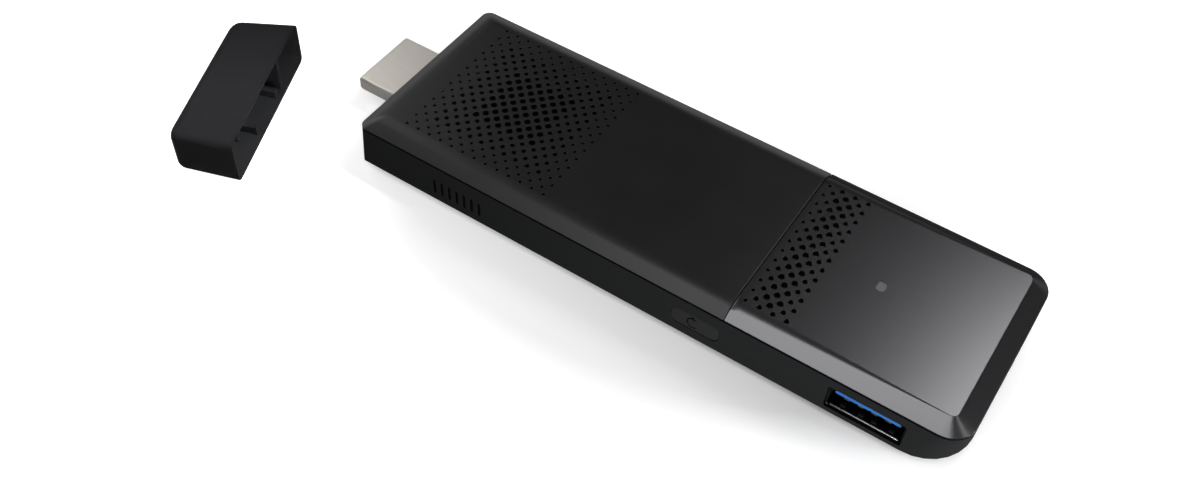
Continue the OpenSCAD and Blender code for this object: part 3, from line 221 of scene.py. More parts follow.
def rolled_steel(name, dark, light, rough, along, metal=1.0):
    """Plated sheet rolled in one direction: soft streaks along it and a satin shine."""
    streak_size, uneven, relief, depth = 0.3, 0.06, 0.05, 0.01
    made, tree, out, spot = start_material(name)
    stretch = add(tree, "ShaderNodeMapping", {"Scale": along}, [("Vector", spot)])
    streak = add(tree, "ShaderNodeTexNoise", {"Scale": 1 / (streak_size * MM), "Detail": 3.0},
                 [("Vector", stretch.outputs[0])])
    tone = add(tree, "ShaderNodeMix", {"data_type": "RGBA", 6: linear(dark), 7: linear(light)},
               [(0, streak.outputs["Fac"])])
    gloss = add(tree, "ShaderNodeMapRange", {"To Min": rough - uneven, "To Max": rough + uneven},
                [("Value", streak.outputs["Fac"])])
    bump = add(tree, "ShaderNodeBump", {"Strength": relief, "Distance": depth * MM},
               [("Height", streak.outputs["Fac"])])
    surface = add(tree, "ShaderNodeBsdfPrincipled", {"Metallic": metal},
                  [("Base Color", tone.outputs[2]), ("Roughness", gloss.outputs[0]),
                   ("Normal", bump.outputs[0])])
    tree.links.new(surface.outputs[0], out.inputs[0])
    return made


def moulded_resin(name, dark, light, rough, metal=0.0):
    """Resin of small moulded parts: one colour with a faint speckle and an uneven shine. Small pressed or
    sintered metal parts get the same speckle."""
    speck_size, uneven = 0.4, 0.06
    made, tree, out, spot = start_material(name)
    speck = add(tree, "ShaderNodeTexNoise", {"Scale": 1 / (speck_size * MM), "Detail": 3.0},
                [("Vector", spot)])
    tone = add(tree, "ShaderNodeMix", {"data_type": "RGBA", 6: linear(dark), 7: linear(light)},
               [(0, speck.outputs["Fac"])])
    gloss = add(tree, "ShaderNodeMapRange", {"To Min": rough - uneven, "To Max": rough + uneven},
                [("Value", speck.outputs["Fac"])])
    surface = add(tree, "ShaderNodeBsdfPrincipled", {"Metallic": metal},
                  [("Base Color", tone.outputs[2]), ("Roughness", gloss.outputs[0])])
    tree.links.new(surface.outputs[0], out.inputs[0])
    return made


def studio_white(name):
    """Pale sweep paper: it takes the soft shadow, and shows white to the eye. Its bounce on the object is
    damped. Its glow is painted light and shade: weaker towards the near right of the object, which deepens
    the shadow there, and full further out, which paints the paper white."""
    made, tree, out, spot = start_material(name)
    path = add(tree, "ShaderNodeLightPath", {})
    camera_ray = path.outputs["Is Camera Ray"]
    mirrored = add(tree, "ShaderNodeMath", {"operation": "MULTIPLY", 1: GLOW_MIRRORED},
                   [(0, path.outputs["Is Glossy Ray"])])
    seen = add(tree, "ShaderNodeMath", {"operation": "MAXIMUM"},
               [(0, camera_ray), (1, mirrored.outputs[0])])
    seen = add(tree, "ShaderNodeMath", {"operation": "MAXIMUM"},
               [(0, seen.outputs[0]), (1, path.outputs["Is Transmission Ray"])])
    place = add(tree, "ShaderNodeVectorMath", {"operation": "DOT_PRODUCT", 1: (1.0, -1.0, 0.0)},
                [(0, spot)])
    level = add(tree, "ShaderNodeMapRange", {"From Min": GLOW_FROM * MM, "From Max": GLOW_TO * MM,
                                             "To Min": GLOW_LEFT, "To Max": GLOW_RIGHT},
                [("Value", place.outputs["Value"])])
    oval = add(tree, "ShaderNodeVectorMath", {"operation": "MULTIPLY", 1: WHITE_OVAL}, [(0, spot)])
    reach = add(tree, "ShaderNodeVectorMath", {"operation": "LENGTH"}, [(0, oval.outputs[0])])
    far = add(tree, "ShaderNodeMapRange", {"From Min": WHITE_FROM * MM, "From Max": WHITE_TO * MM},
              [("Value", reach.outputs["Value"])])
    most = add(tree, "ShaderNodeMath", {"operation": "MAXIMUM"},
               [(0, level.outputs[0]), (1, far.outputs[0])])
    share = add(tree, "ShaderNodeMath", {"operation": "MULTIPLY"},
                [(0, seen.outputs[0]), (1, most.outputs[0])])
    tone = add(tree, "ShaderNodeMix", {"data_type": "RGBA", 6: linear("#7d7d7d"), 7: linear("#eeeeee")},
               [(0, camera_ray)])
    paper = add(tree, "ShaderNodeBsdfDiffuse", {}, [("Color", tone.outputs[2])])
    glow = add(tree, "ShaderNodeEmission", {"Color": linear("#ffffff")}, [("Strength", share.outputs[0])])
    both = add(tree, "ShaderNodeAddShader", {}, [(0, paper.outputs[0]), (1, glow.outputs[0])])
    tree.links.new(both.outputs[0], out.inputs[0])
    return made


# Outlines and skins

def level_corners(x0, x1, half, z):
    """Corners of a rectangle at one height, the same to both sides of the stick's middle."""
    return [(x0, -half, z), (x1, -half, z), (x1, half, z), (x0, half, z)]


def upright_corners(x0, x1, y, z0, z1):
    """Corners of an upright rectangle along a side wall."""
    return [(x0, y, z0), (x1, y, z0), (x1, y, z1), (x0, y, z1)]


def rounded(bm, corners, radii, steps):
    """Closed outline through corner points, each rounded by its own radius. Gives its edges."""
    old = set(bm.edges)
    points = [bm.verts.new(Vector(c) * MM) for c in corners]
    bm.faces.new(points)
    for radius in sorted(set(radii)):
        if radius > 0:
            picked = [p for p, r in zip(points, radii) if r == radius]
            bmesh.ops.bevel(bm, geom=picked, offset=radius * MM, offset_type="OFFSET", segments=steps,
                            profile=0.5, affect="VERTICES", material=-1)
    edges = [e for e in bm.edges if e not in old]
    bmesh.ops.delete(bm, geom=list(edges[0].link_faces), context="FACES_ONLY")
    return edges


def round_loop(bm, centre, radius):
    """Circle at one height. Gives its edges."""
    made = bmesh.ops.create_circle(bm, radius=radius * MM, segments=HOLE_SIDES,
                                   matrix=Matrix.Translation(Vector(centre) * MM))
    return list({e for v in made["verts"] for e in v.link_edges})


def skin(bm, loops, ends=True):
    """Skin through a row of outlines, closed at its ends where asked. While they are joined, the outlines
    stand apart like a stack, so that two in almost one plane still join corner to corner."""
    rings = [list({v for e in loop for v in e.verts}) for loop in loops]
    spans = [max(v.co[k] for v in rings[0]) - min(v.co[k] for v in rings[0]) for k in range(3)]
    apart = Vector([STACK_GAP * MM * (k == spans.index(min(spans))) for k in range(3)])
    for place, ring in enumerate(rings):
        bmesh.ops.translate(bm, vec=apart * place, verts=ring)
    for first, second in zip(loops, loops[1:]):
        bmesh.ops.bridge_loops(bm, edges=first + second)
    for place, ring in enumerate(rings):
        bmesh.ops.translate(bm, vec=apart * -place, verts=ring)
    if ends:
        for loop in (loops[0], loops[-1]):
            bmesh.ops.edgeloop_fill(bm, edges=loop)


def sheet_tube(bm, loops):
    """Bent sheet: a skin through its outlines that closes on itself, from the last one to the first."""
    skin(bm, loops, ends=False)
    bmesh.ops.bridge_loops(bm, edges=loops[0] + loops[-1])


def block(bm, low, high):
    """Box between two corners."""
    low, high = Vector(low), Vector(high)
    bmesh.ops.create_cube(bm, size=1.0, matrix=Matrix.Translation((low + high) / 2 * MM)
                          @ Matrix.Diagonal([*((high - low) * MM), 1.0]))


def block_at(bm, middle, size):
    """Box of a size round its middle."""
    bmesh.ops.create_cube(bm, size=1.0, matrix=Matrix.Translation(Vector(middle) * MM)
                          @ Matrix.Diagonal([length * MM for length in size] + [1.0]))


def divide(bm, axis, places):
    """Cuts all faces along planes across an axis, so that a later opening never lies inside one large
    face."""
    across = Vector([float(k == axis) for k in range(3)])
    for place in places:
        bmesh.ops.bisect_plane(bm, geom=bm.verts[:] + bm.edges[:] + bm.faces[:], dist=CUT_SNAP,
                               plane_co=across * (place * MM), plane_no=across)


def new_object(name, bm):
    """Turns a bmesh into an object in the scene, with its faces pointing outwards."""
    bmesh.ops.recalc_face_normals(bm, faces=bm.faces)
    mesh = bpy.data.meshes.new(name)
    bm.to_mesh(mesh)
    bm.free()
    made = bpy.data.objects.new(name, mesh)
    bpy.context.scene.collection.objects.link(made)
    return made


def cut_away(piece, tool):
    """Cuts a tool object out of a piece and drops the tool."""
    change = piece.modifiers.new("cut", "BOOLEAN")
    change.operation = "DIFFERENCE"
    change.solver = "MANIFOLD"
    change.object = tool
    graph = bpy.context.evaluated_depsgraph_get()
    mesh = bpy.data.meshes.new_from_object(piece.evaluated_get(graph))
    piece.modifiers.clear()
    piece.data = mesh
    bpy.data.objects.remove(tool, do_unlink=True)


def dress(piece, body, nodes, material):
    """Gives a piece its material, its smooth shading, its body and the solids that it stands for."""
    piece.data.materials.clear()
    piece.data.materials.append(material)
    for face in piece.data.polygons:
        face.use_smooth = True
    piece.data.set_sharp_from_angle(angle=math.radians(CRISP_ANGLE))
    even = piece.modifiers.new("even", "WEIGHTED_NORMAL")
    even.keep_sharp = True
    even.weight = LARGE_FACE_WEIGHT
    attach(piece, body)
    if nodes:
        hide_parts(*nodes)


# Lower case

def wall_tool(bm, side, outline, radius, flare, depth):
    """Tool for an opening in the near (side -1) or far (side 1) wall, with a small bevel at its outer
    face."""
    (x0, z0), (x1, z1) = outline
    rings = ((HALF_W + OVERSHOOT, flare + OVERSHOOT), (HALF_W - flare, 0.0), (HALF_W - depth, 0.0))
    loops = []
    for y, grow in rings:
        corners = upright_corners(x0 - grow, x1 + grow, side * y, z0 - grow, z1 + grow)
        loops.append(rounded(bm, corners, [radius + grow] * 4, HOLE_STEPS))
    skin(bm, loops)


def between(low, high, z):
    """Value at a height of the lower case, from the one at its lower edge to the one at its lip."""
    share = (z - EDGE) / (LIP - EDGE)
    return low + (high - low) * min(max(share, 0.0), 1.0)


def case_ring(bm, inset, z, rear):
    """Plan outline of the case, drawn in by inset, at one height."""
    least, steps = 0.15, 7
    x, y = HALF_L - inset, HALF_W - inset
    front = max(between(FRONT_LOW_R, FRONT_R, z) - inset, least)
    radii = [front, rear - inset, rear - inset, front + CORNER_STEP]
    return rounded(bm, level_corners(-x, x, y, z), radii, steps)


def lower_case():
    """Case with its drawn-in foot, slots, ports and plug hole. Its rear corners grow rounder downwards."""
    bm = bmesh.new()
    profile = [(FOOT_IN + 0.3, 0.0), (FOOT_IN + 0.06, 0.05), (0.15, 1.62), (0.04, 1.74), (0.0, 1.88),
               (0.0, 4.0), (0.0, 6.0), (0.0, 8.0),
               (0.0, LIP - 0.13), (0.02, LIP - 0.07), (0.06, LIP - 0.03), (LIP_T, LIP),
               (LIP_T, TRENCH_Z + 0.04), (TRENCH_IN, TRENCH_Z), (TRENCH_IN, RIM - 0.04)]
    loops = [case_ring(bm, inset, z, between(REAR_LOW_R, REAR_R, z)) for inset, z in profile]
    loops += [case_ring(bm, WALL, z, REAR_LOW_R) for z in (RIM, FLOOR)]
    skin(bm, loops)
    wide_port, small_port, card = 41.6, 41.0, 20.0
    divide(bm, 0, SLOTS + [BUTTON_X, wide_port, small_port, card])
    piece = new_object("lower_case", bm)
    tools = bmesh.new()
    for x in SLOTS:
        outline = ((x - SLOT_HALF, SLOT_LOW), (x + SLOT_HALF, SLOT_HIGH))
        wall_tool(tools, -1, outline, SLOT_R, SLOT_FLARE, SLOT_DEPTH)
    for hole in (BUTTON_HOLE, WIDE_PORT_HOLE, SMALL_PORT_HOLE, CARD_HOLE):
        wall_tool(tools, *hole)
    cut_away(piece, new_object("openings", tools))
    pocket = bmesh.new()
    block_at(pocket, (PORT_X, -16.5, PORT_Z), (13.3, 4.0, 5.92))
    cut_away(piece, new_object("pocket", pocket))
    plug_hole = bmesh.new()
    skin(plug_hole, [plug_ring(plug_hole, x, grow) for x, grow in PLUG_HOLE])
    cut_away(piece, new_object("plug_hole", plug_hole))
    return piece


def shade_inserts():
    """Black inserts in the slots, and black strips under and beside the wide port: painted shade, where the
    openings would show dark.
    """
    bm = bmesh.new()
    insert_half, insert_front, insert_back, insert_low, insert_high = 0.32, -18.88, -17.8, 3.4, 6.7
    for x in SLOTS:
        block(bm, (x - insert_half, insert_front, insert_low), (x + insert_half, insert_back, insert_high))
    left, right, strip_front, strip_back, strip_half = 35.12, 48.13, -18.93, -18.58, 0.06
    block(bm, (left, strip_front, 2.7), (right, strip_back, 2.8))
    block(bm, (35.9, -18.57, 2.72), (47.7, -18.25, 3.15))
    for x in (left, right):
        block(bm, (x - strip_half, strip_front, 2.75), (x + strip_half, strip_back, 7.85))
    return new_object("shade_inserts", bm)


# Covers

# The facet along the sides meets the flat top at a crease, which is wide and soft or narrow and crisp
CREASE_IN, LIP_RISE, SOFT_REACH, CRISP_REACH, FILLET_STEPS = 2.88, 0.12, 1.4, 0.05, 10
# Small lip under the facet: distances in from the side and rises above the rim
COVER_LIP = [(0.1, 0.0), (0.0, 0.05), (0.0, 0.1), (0.06, 0.155)]
# At the rear end the facet is a little wider
REAR_SHARE = 1.11


def edge_profile(reach):
    """Edge of a cover as distances in from its side and rises above the rim: a small lip, the facet and
    a fillet into the top that spans the reach on both sides of the crease."""
    rise = TOP - RIM
    lean = math.atan((rise - LIP_RISE) / CREASE_IN)
    radius = reach / math.tan(lean / 2)
    points = list(COVER_LIP)
    for k in range(FILLET_STEPS + 1):
        a = lean * (1 - k / FILLET_STEPS)
        points.append((CREASE_IN + reach - radius * math.sin(a), rise - radius * (1 - math.cos(a))))
    return points


def ease_seam(bm, x):
    """Small rounding where a cover ends at the seam."""
    above, ease = 0.2, 0.12
    rim = [e for e in bm.edges
           if all(abs(v.co.x - x * MM) < PICK_SNAP and v.co.z > (RIM + above) * MM for v in e.verts)
           and len(e.link_faces) == 2
           and any(f.normal.z > 0.5 for f in e.link_faces)]
    bmesh.ops.bevel(bm, geom=rim, offset=ease * MM, offset_type="OFFSET", segments=2, profile=0.5,
                    affect="EDGES", material=-1)


def round_tool(bm, x, y, r):
    """Tool for one round hole, with a small bevel at the top face."""
    rings = ((CEILING - HOLE_BELOW, r), (TOP - HOLE_EASE, r), (TOP + HOLE_EASE, r + 2 * HOLE_EASE))
    skin(bm, [round_loop(bm, (x, y, z), radius) for z, radius in rings])


def matte_cover():
    """Front cover with its grille, whose holes grow from its edge inwards."""
    bm = bmesh.new()
    end = SEAM - SEAM_GAP / 2
    hollow_r, steps = 0.5, 6
    loops = []
    for z in (CEILING, RIM + HOLLOW_LIFT):
        corners = level_corners(COVER_RIM - HALF_L, end - SEAM_WALL, HALF_W - COVER_RIM, z)
        loops.append(rounded(bm, corners, [hollow_r, 0, 0, hollow_r], steps))
    for inset, rise in edge_profile(SOFT_REACH):
        front = max(FRONT_R - 0.3 * inset, 0.6)
        corners = level_corners(inset - HALF_L, end, HALF_W - inset, RIM + rise)
        loops.append(rounded(bm, corners, [front, 0, 0, front], steps))
    skin(bm, loops)
    ease_seam(bm, end)
    columns = [GRILLE_X + (i - GRILLE_LAST / 2) * COLUMN_PITCH for i in range(GRILLE_LAST + 1)]
    divide(bm, 0, columns)
    divide(bm, 1, ROWS)
    piece = new_object("matte_cover", bm)
    tools = bmesh.new()
    for i, x in enumerate(columns):
        for j in range(i % 2, GRILLE_LAST + 1, 2):
            ring = min(i, j, GRILLE_LAST - i, GRILLE_LAST - j)
            size = next(size for last, size in GRILLE_SIZES if ring <= last)
            round_tool(tools, x, ROWS[j], size / 2)
    cut_away(piece, new_object("grille", tools))
    return piece


def gloss_cover():
    """Rear cover with its rows of vents and the window of the light. Its crease is soft at the seam, as on
    the front cover, and crisp at the rear end."""
    bm = bmesh.new()
    start = SEAM + SEAM_GAP / 2
    hollow_r, steps = 3.0, 9
    loops = []
    for z in (CEILING, RIM + HOLLOW_LIFT):
        corners = level_corners(start + SEAM_WALL, HALF_L - COVER_RIM, HALF_W - COVER_RIM, z)
        loops.append(rounded(bm, corners, [0, hollow_r, hollow_r, 0], steps))
    for (soft_in, soft_rise), (crisp_in, crisp_rise) in zip(edge_profile(SOFT_REACH),
                                                            edge_profile(CRISP_REACH)):
        x, y = HALF_L - REAR_SHARE * crisp_in, HALF_W - crisp_in
        low, high = RIM + soft_rise, RIM + crisp_rise
        rear = max(REAR_R - 1.18 * crisp_in, 0.9)
        corners = [(start, soft_in - HALF_W, low), (x, -y, high),
                   (x, y, high), (start, HALF_W - soft_in, low)]
        loops.append(rounded(bm, corners, [0, rear, rear, 0], steps))
    skin(bm, loops)
    ease_seam(bm, start)
    lines = [SEAM + VENT_FIRST + VENT_STEP * row for row in range(len(VENT_SIZES))]
    divide(bm, 0, lines + [WINDOW_X])
    divide(bm, 1, ROWS)
    piece = new_object("gloss_cover", bm)
    tools = bmesh.new()
    for row, size in enumerate(VENT_SIZES):
        count = VENT_COUNT - row % 2
        for k in range(count):
            at_end = row % 2 == 0 and k in (0, count - 1)
            y = (k - (count - 1) / 2) * (2 * ROW_PITCH)
            round_tool(tools, lines[row], y, (min(size, VENT_END) if at_end else size) / 2)
    window = WINDOW_X - WINDOW_HALF_L, WINDOW_X + WINDOW_HALF_L, WINDOW_HALF_W
    skin(tools, [rounded(tools, level_corners(*window, z), [WINDOW_R] * 4, 4)
                 for z in (RIM + 0.4, TOP + 0.2)])
    cut_away(piece, new_object("vents", tools))
    return piece


# Plug

def plug_ring(bm, x, grow):
    """Outline of the plug across the stick: square above, drawn in at the lower corners."""
    low_r, high_r, steps = 0.6, 0.55, 5
    y, low, high = PLUG_HALF_W + grow, PLUG_LOW - grow, PLUG_HIGH + grow
    corners = [(x, PLUG_DRAW - y, low), (x, y - PLUG_DRAW, low), (x, y, PLUG_SHOULDER),
               (x, y, high), (x, -y, high), (x, -y, PLUG_SHOULDER)]
    return rounded(bm, corners, [low_r, low_r, low_r, high_r, high_r, low_r], steps)


def plug_shell():
    """Bent shell of the plug with a rounded edge at its tip, and the tabs that hold it in the case."""
    bm = bmesh.new()
    rings = [(PLUG_END, -PLUG_SHEET), (PLUG_TIP + 0.1, -PLUG_SHEET), (PLUG_TIP + 0.04, -0.28),
             (PLUG_TIP, -0.2), (PLUG_TIP + 0.03, -0.1), (PLUG_TIP + 0.1, -0.03),
             (PLUG_TIP + 0.22, 0.0), (PLUG_END + 0.1, 0.0)]
    sheet_tube(bm, [plug_ring(bm, x, grow) for x, grow in rings])
    for side in (-1, 1):
        block_at(bm, (-51.8, side * 7.6, 4.075), (2.0, 1.3, PLUG_SHEET))
    return new_object("plug_shell", bm)


# Wide port

def port_shell():
    """Sheet box of the port with a rounded mouth."""
    bm = bmesh.new()
    rings = [(PORT_BACK, 0.0, 0.35), (PORT_MOUTH + 0.1, 0.0, 0.35), (PORT_MOUTH + 0.04, 0.06, 0.4),
             (PORT_MOUTH, 0.15, 0.45), (PORT_MOUTH + 0.04, 0.24, 0.5),
             (PORT_MOUTH + 0.1, PORT_SHEET, 0.6), (PORT_BACK + 0.1, PORT_SHEET, 0.6)]
    loops = []
    for y, grow, radius in rings:
        x, z = PORT_HALF_W + grow, PORT_HALF_H + grow
        corners = upright_corners(PORT_X - x, PORT_X + x, y, PORT_Z - z, PORT_Z + z)
        loops.append(rounded(bm, corners, [radius] * 4, 4))
    sheet_tube(bm, loops)
    return new_object("port_shell", bm)


def port_lip():
    """Rolled front edge of the port's lower wall, which catches the light."""
    bm = bmesh.new()
    loops = []
    for x, grow in ((36.0, -0.06), (36.1, 0.0), (47.5, 0.0), (47.6, -0.06)):
        y0, y1, z0, z1 = -18.56 - grow, -18.2 + grow, 3.1 - grow, 3.32 + grow
        corners = [(x, y0, z0), (x, y1, z0), (x, y1, z1), (x, y0, z1)]
        loops.append(rounded(bm, corners, [0.1 + grow] * 4, 4))
    skin(bm, loops)
    return new_object("port_lip", bm)


def port_springs():
    """Four springs that stand up from the port's lower wall and hold a plug."""
    bm = bmesh.new()
    half, foot, edge_r = 0.5, 2.8, 0.08
    for x in (37.85, 40.95, 43.2, 46.15):
        loops = []
        for y, high in ((-17.75, 3.0), (-17.4, 3.2), (-16.6, 3.3), (-15.2, 3.0)):
            corners = upright_corners(x - half, x + half, y, foot, high)
            loops.append(rounded(bm, corners, [0.0, 0.0, edge_r, edge_r], 2))
        skin(bm, loops)
    return new_object("port_springs", bm)


def port_tongue():
    """Tongue under the port's upper wall, with its block at the back."""
    bm = bmesh.new()
    loops = []
    for y, grow in ((-17.95, -0.15), (-17.82, 0.0), (-7.35, 0.0)):
        x, low, high = 5.55 + grow, 5.65 - grow, 7.16 + grow
        corners = upright_corners(PORT_X - x, PORT_X + x, y, low, high)
        loops.append(rounded(bm, corners, [0.2] * 4, 3))
    skin(bm, loops)
    block_at(bm, (PORT_X, -6.35, PORT_Z), (12.4, 2.0, 5.02))
    return new_object("port_tongue", bm)


# Button

def power_mark(bm, front, back):
    """Open ring and bar of the usual power symbol, between two depths."""
    inner, outer, gap, steps = 0.95, 1.22, 55, 20
    at = Vector((MARK_X, front, BUTTON_Z)) * MM
    deep = back - front
    ring = [bm.verts.new(at + Vector((x, y, 0)) * MM)
            for x, y in ((inner, 0), (outer, 0), (outer, deep), (inner, deep))]
    start = bm.faces.new(ring)
    bmesh.ops.rotate(bm, verts=ring, cent=at, matrix=Matrix.Rotation(math.radians(-gap), 3, "Y"))
    bmesh.ops.spin(bm, geom=[start], cent=at, axis=(0, 1, 0), angle=math.radians(2 * gap - 360),
                   steps=steps, use_merge=False, use_duplicate=False)
    block(bm, (11.22, front, 5.95), (11.48, back, 6.9))


def button():
    """Button, almost flush, with a collar behind the wall and the sunken power mark."""
    bm = bmesh.new()
    rings = ((BUTTON_FACE, -0.3), (BUTTON_FACE + 0.02, -0.1), (BUTTON_FACE + 0.08, 0.0),
             (-17.4, 0.0), (-17.35, 0.6), (-16.7, 0.6))
    loops = []
    for y, grow in rings:
        x, z = BUTTON_HALF_L + grow, BUTTON_HALF_H + grow
        corners = upright_corners(BUTTON_X - x, BUTTON_X + x, y, BUTTON_Z - z, BUTTON_Z + z)
        loops.append(rounded(bm, corners, [BUTTON_R + min(grow, 0.0)] * 4, 6))
    skin(bm, loops)
    divide(bm, 0, [MARK_X])
    divide(bm, 2, [BUTTON_Z])
    piece = new_object("button", bm)
    mark = bmesh.new()
    power_mark(mark, BUTTON_FACE - 0.2, BUTTON_FACE + 0.08)
    cut_away(piece, new_object("mark", mark))
    return piece


def mark_ink():
    """Ink in the power mark."""
    bm = bmesh.new()
    power_mark(bm, BUTTON_FACE + 0.03, BUTTON_FACE + 0.09)
    return new_object("mark_ink", bm)


# Cap, made along its own axis and then turned into its place on the table

def cap_ring(bm, back, side_in, top_in, low_in, top_r, low_r):
    """Outline across the cap, at a distance behind its mouth."""
    y, low, high = CAP_W / 2 - side_in, low_in, CAP_H - top_in
    corners = [(-back, -y, low), (-back, y, low), (-back, y, high), (-back, -y, high)]
    return rounded(bm, corners, [low_r, low_r + CORNER_STEP, top_r, top_r + CORNER_STEP], 5)


def cap_end(bm, step, wall, side, top, low, top_r, low_r):
    """One outline of the cap's rounded end, from step 0 at its start to the last step at the closed end."""
    a = math.radians(CAP_STEP_ANGLE * step)
    back = CAP_D - wall - side * (1 - math.sin(a))
    share = back / CAP_D
    draw = 1 - math.cos(a)
    return cap_ring(bm, back, wall + CAP_SIDE_DRAFT * share + side * draw,
                    wall + CAP_TOP_DRAFT * share + top * draw, wall + low * draw, top_r, low_r)


def cap():
    """Plug cap with a thin rounded mouth, and the tall and low ribs that hold it on the plug."""
    bm = bmesh.new()
    loops = [cap_end(bm, step, *CAP_INSIDE) for step in range(CAP_STEPS, -1, -1)]
    for back, inset in ((3.0, 1.0), (1.4, 0.72), (0.06, 0.28), (0.03, 0.2)):
        loops.append(cap_ring(bm, back, inset, inset, inset, 1.3 - 0.8 * inset, 1.1 - 0.7 * inset))
    loops.append(cap_ring(bm, 0.0, 0.1, 0.1, 0.1, 1.25, 1.05))
    loops.append(cap_ring(bm, 0.07, 0.0, 0.0, 0.0, 1.3, 1.1))
    loops += [cap_end(bm, step, *CAP_OUTSIDE) for step in range(CAP_STEPS + 1)]
    skin(bm, loops)
    low, far_end, thick = 0.5, 11.2, 1.0
    for back, y, top in ((0.9, 7.6, 8.0), (3.4, -7.6, 8.0), (0.9, 4.85, 2.4), (0.9, -4.85, 2.4)):
        block_at(bm, (-(back + far_end) / 2, y, (low + top) / 2), (far_end - back, thick, top - low))
    turn = Matrix.Translation(Vector(CAP_AT) * MM) @ Matrix.Rotation(math.radians(CAP_TURN), 4, "Z")
    bmesh.ops.transform(bm, matrix=turn, verts=bm.verts)
    return new_object("cap", bm)


# Finishes of the pieces in view: black ABS, lacquer, black of painted shade, ink, plated steel (some of it
# darkened as painted shade) and resin

case_abs = eroded_abs("case_abs", "#141415", "#191a1a", 0.5, 0.3, 0.02, 0.015)
cover_abs = eroded_abs("cover_abs", "#0c0c0d", "#121213", 0.36, 0.3, 0.012)
cap_abs = eroded_abs("cap_abs", "#1a1a1b", "#1e1e1f", 0.36, 0.3, 0.006, 0.006)
button_abs = eroded_abs("button_abs", "#1a1a1b", "#1f1f20", 0.45, 0.3, 0.01, 0.03)
lacquer = gun_metal_lacquer("gun_metal_lacquer", "#5d5d5f", "#5f5f61", 0.26)
# Near black for the inserts in the slots and round the wide port: painted shade
painted_shade_black = eroded_abs("painted_shade_black", "#030303", "#060606", 0.7, 0.2, 0.02, 0.01)
black_ink = eroded_abs("black_ink", "#040404", "#070707", 0.6, 0.2, 0.005, 0.01)
plug_plate = rolled_steel("nickel_plated_steel", "#d2ccc4", "#dfdad3", 0.31, (0.08, 1.0, 1.0), 0.7)
port_plate = rolled_steel("tin_plated_steel", "#b8b8ba", "#d6d6d8", 0.28, (1.0, 0.1, 1.0))
# Tin plate darkened to near black for the port's shell and springs: painted shade for the dark inside of the
# port
shaded_tin_plate = rolled_steel("tin_plated_steel_painted_shade", "#1c1c1d", "#262627", 0.45, (1.0, 0.1, 1.0))
window_resin = moulded_resin("milky_acrylic", "#646568", "#6e6f72", 0.3)
blue_pbt = moulded_resin("blue_pbt", "#0a4682", "#0e4d8a", 0.55)

# Finishes of the pieces inside

black_lcp = moulded_resin("black_lcp", "#0c0c0c", "#161616", 0.5)
gold = moulded_resin("gold_plate", "#c79a3f", "#dcb45a", 0.3, 1.0)
board_mask = moulded_resin("green_solder_mask", "#0b3d24", "#115232", 0.35)
screw_zinc = moulded_resin("zinc_plate", "#9a9a9d", "#b8b8bb", 0.35, 1.0)
copper = moulded_resin("bare_copper", "#a8664a", "#c07a58", 0.35, 1.0)
dark_aluminium = moulded_resin("black_anodised_aluminium", "#0e0e0f", "#161617", 0.5)
pad_silicone = moulded_resin("thermal_silicone", "#6f7a84", "#808b95", 0.7)
fan_pbt = moulded_resin("black_pbt", "#0b0b0c", "#121213", 0.45)
magnet_ferrite = moulded_resin("sintered_magnet", "#303033", "#3d3d40", 0.55, 0.5)
bronze = moulded_resin("sintered_bronze", "#8a6a3a", "#a17e48", 0.5, 1.0)
steel = moulded_resin("ground_steel", "#b0b0b4", "#c4c4c8", 0.25, 1.0)
chip_epoxy = moulded_resin("chip_epoxy", "#101012", "#1a1a1c", 0.55)
ceramic = moulded_resin("pale_ceramic", "#cfcdc2", "#dedcd2", 0.5)

NODE_MATERIALS = {
    "light_pipe": window_resin, "status_light": ceramic, "hdmi_insulator": black_lcp, "hdmi_contacts": gold,
    "main_board": board_mask, "board_screws": screw_zinc, "processor": chip_epoxy,
    "thermal_pad": pad_silicone, "heat_plate": copper, "heat_screws": screw_zinc, "heat_pipe": copper,
    "heat_fins": dark_aluminium, "fan_housing": fan_pbt, "fan_lid": fan_pbt, "fan_screws": screw_zinc,
    "fan_bearing": bronze, "fan_stator": copper, "fan_rotor": fan_pbt, "fan_magnet": magnet_ferrite,
    "fan_shaft": steel, "memory_chips": chip_epoxy, "storage_chip": chip_epoxy,
    "power_inductors": magnet_ferrite, "wireless_module": port_plate, "antennas": ceramic,
    "usb_a_contacts": gold, "usb_c_shell": port_plate, "usb_c_tongue": black_lcp, "usb_c_contacts": gold,
    "card_socket": port_plate, "power_switch": chip_epoxy, "switch_plunger": ceramic,
}
for name, material in NODE_MATERIALS.items():
    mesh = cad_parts[name].data
    mesh.materials.clear()
    mesh.materials.append(material)

dress(lower_case(), "stick", ["bottom_case"], case_abs)
# Black inserts in the slots and round the wide port: painted shade
dress(shade_inserts(), "stick", [], painted_shade_black)
dress(matte_cover(), "stick", ["top_cover"], cover_abs)
dress(gloss_cover(), "stick", ["rear_cover"], lacquer)
dress(plug_shell(), "stick", ["hdmi_shell"], plug_plate)
# The port's shell and springs get tin plate darkened to near black, a painted shade; its lip keeps the
# bright plate
dress(port_shell(), "stick", ["usb_a_shell"], shaded_tin_plate)
dress(port_lip(), "stick", [], port_plate)
dress(port_springs(), "stick", [], shaded_tin_plate)
dress(port_tongue(), "stick", ["usb_a_tongue"], blue_pbt)
dress(button(), "power_button", ["power_button"], button_abs)
dress(mark_ink(), "power_button", [], black_ink)
dress(cap(), "plug_cap", ["plug_cap"], cap_abs)

# Table and camera

sheet = bmesh.new()
bmesh.ops.create_grid(sheet, x_segments=1, y_segments=1, size=PAPER_HALF,
                      matrix=Matrix.Translation((0, 0, -PAPER_DROP)))
table = new_object("table", sheet)
table.data.materials.append(studio_white("sweep_paper"))

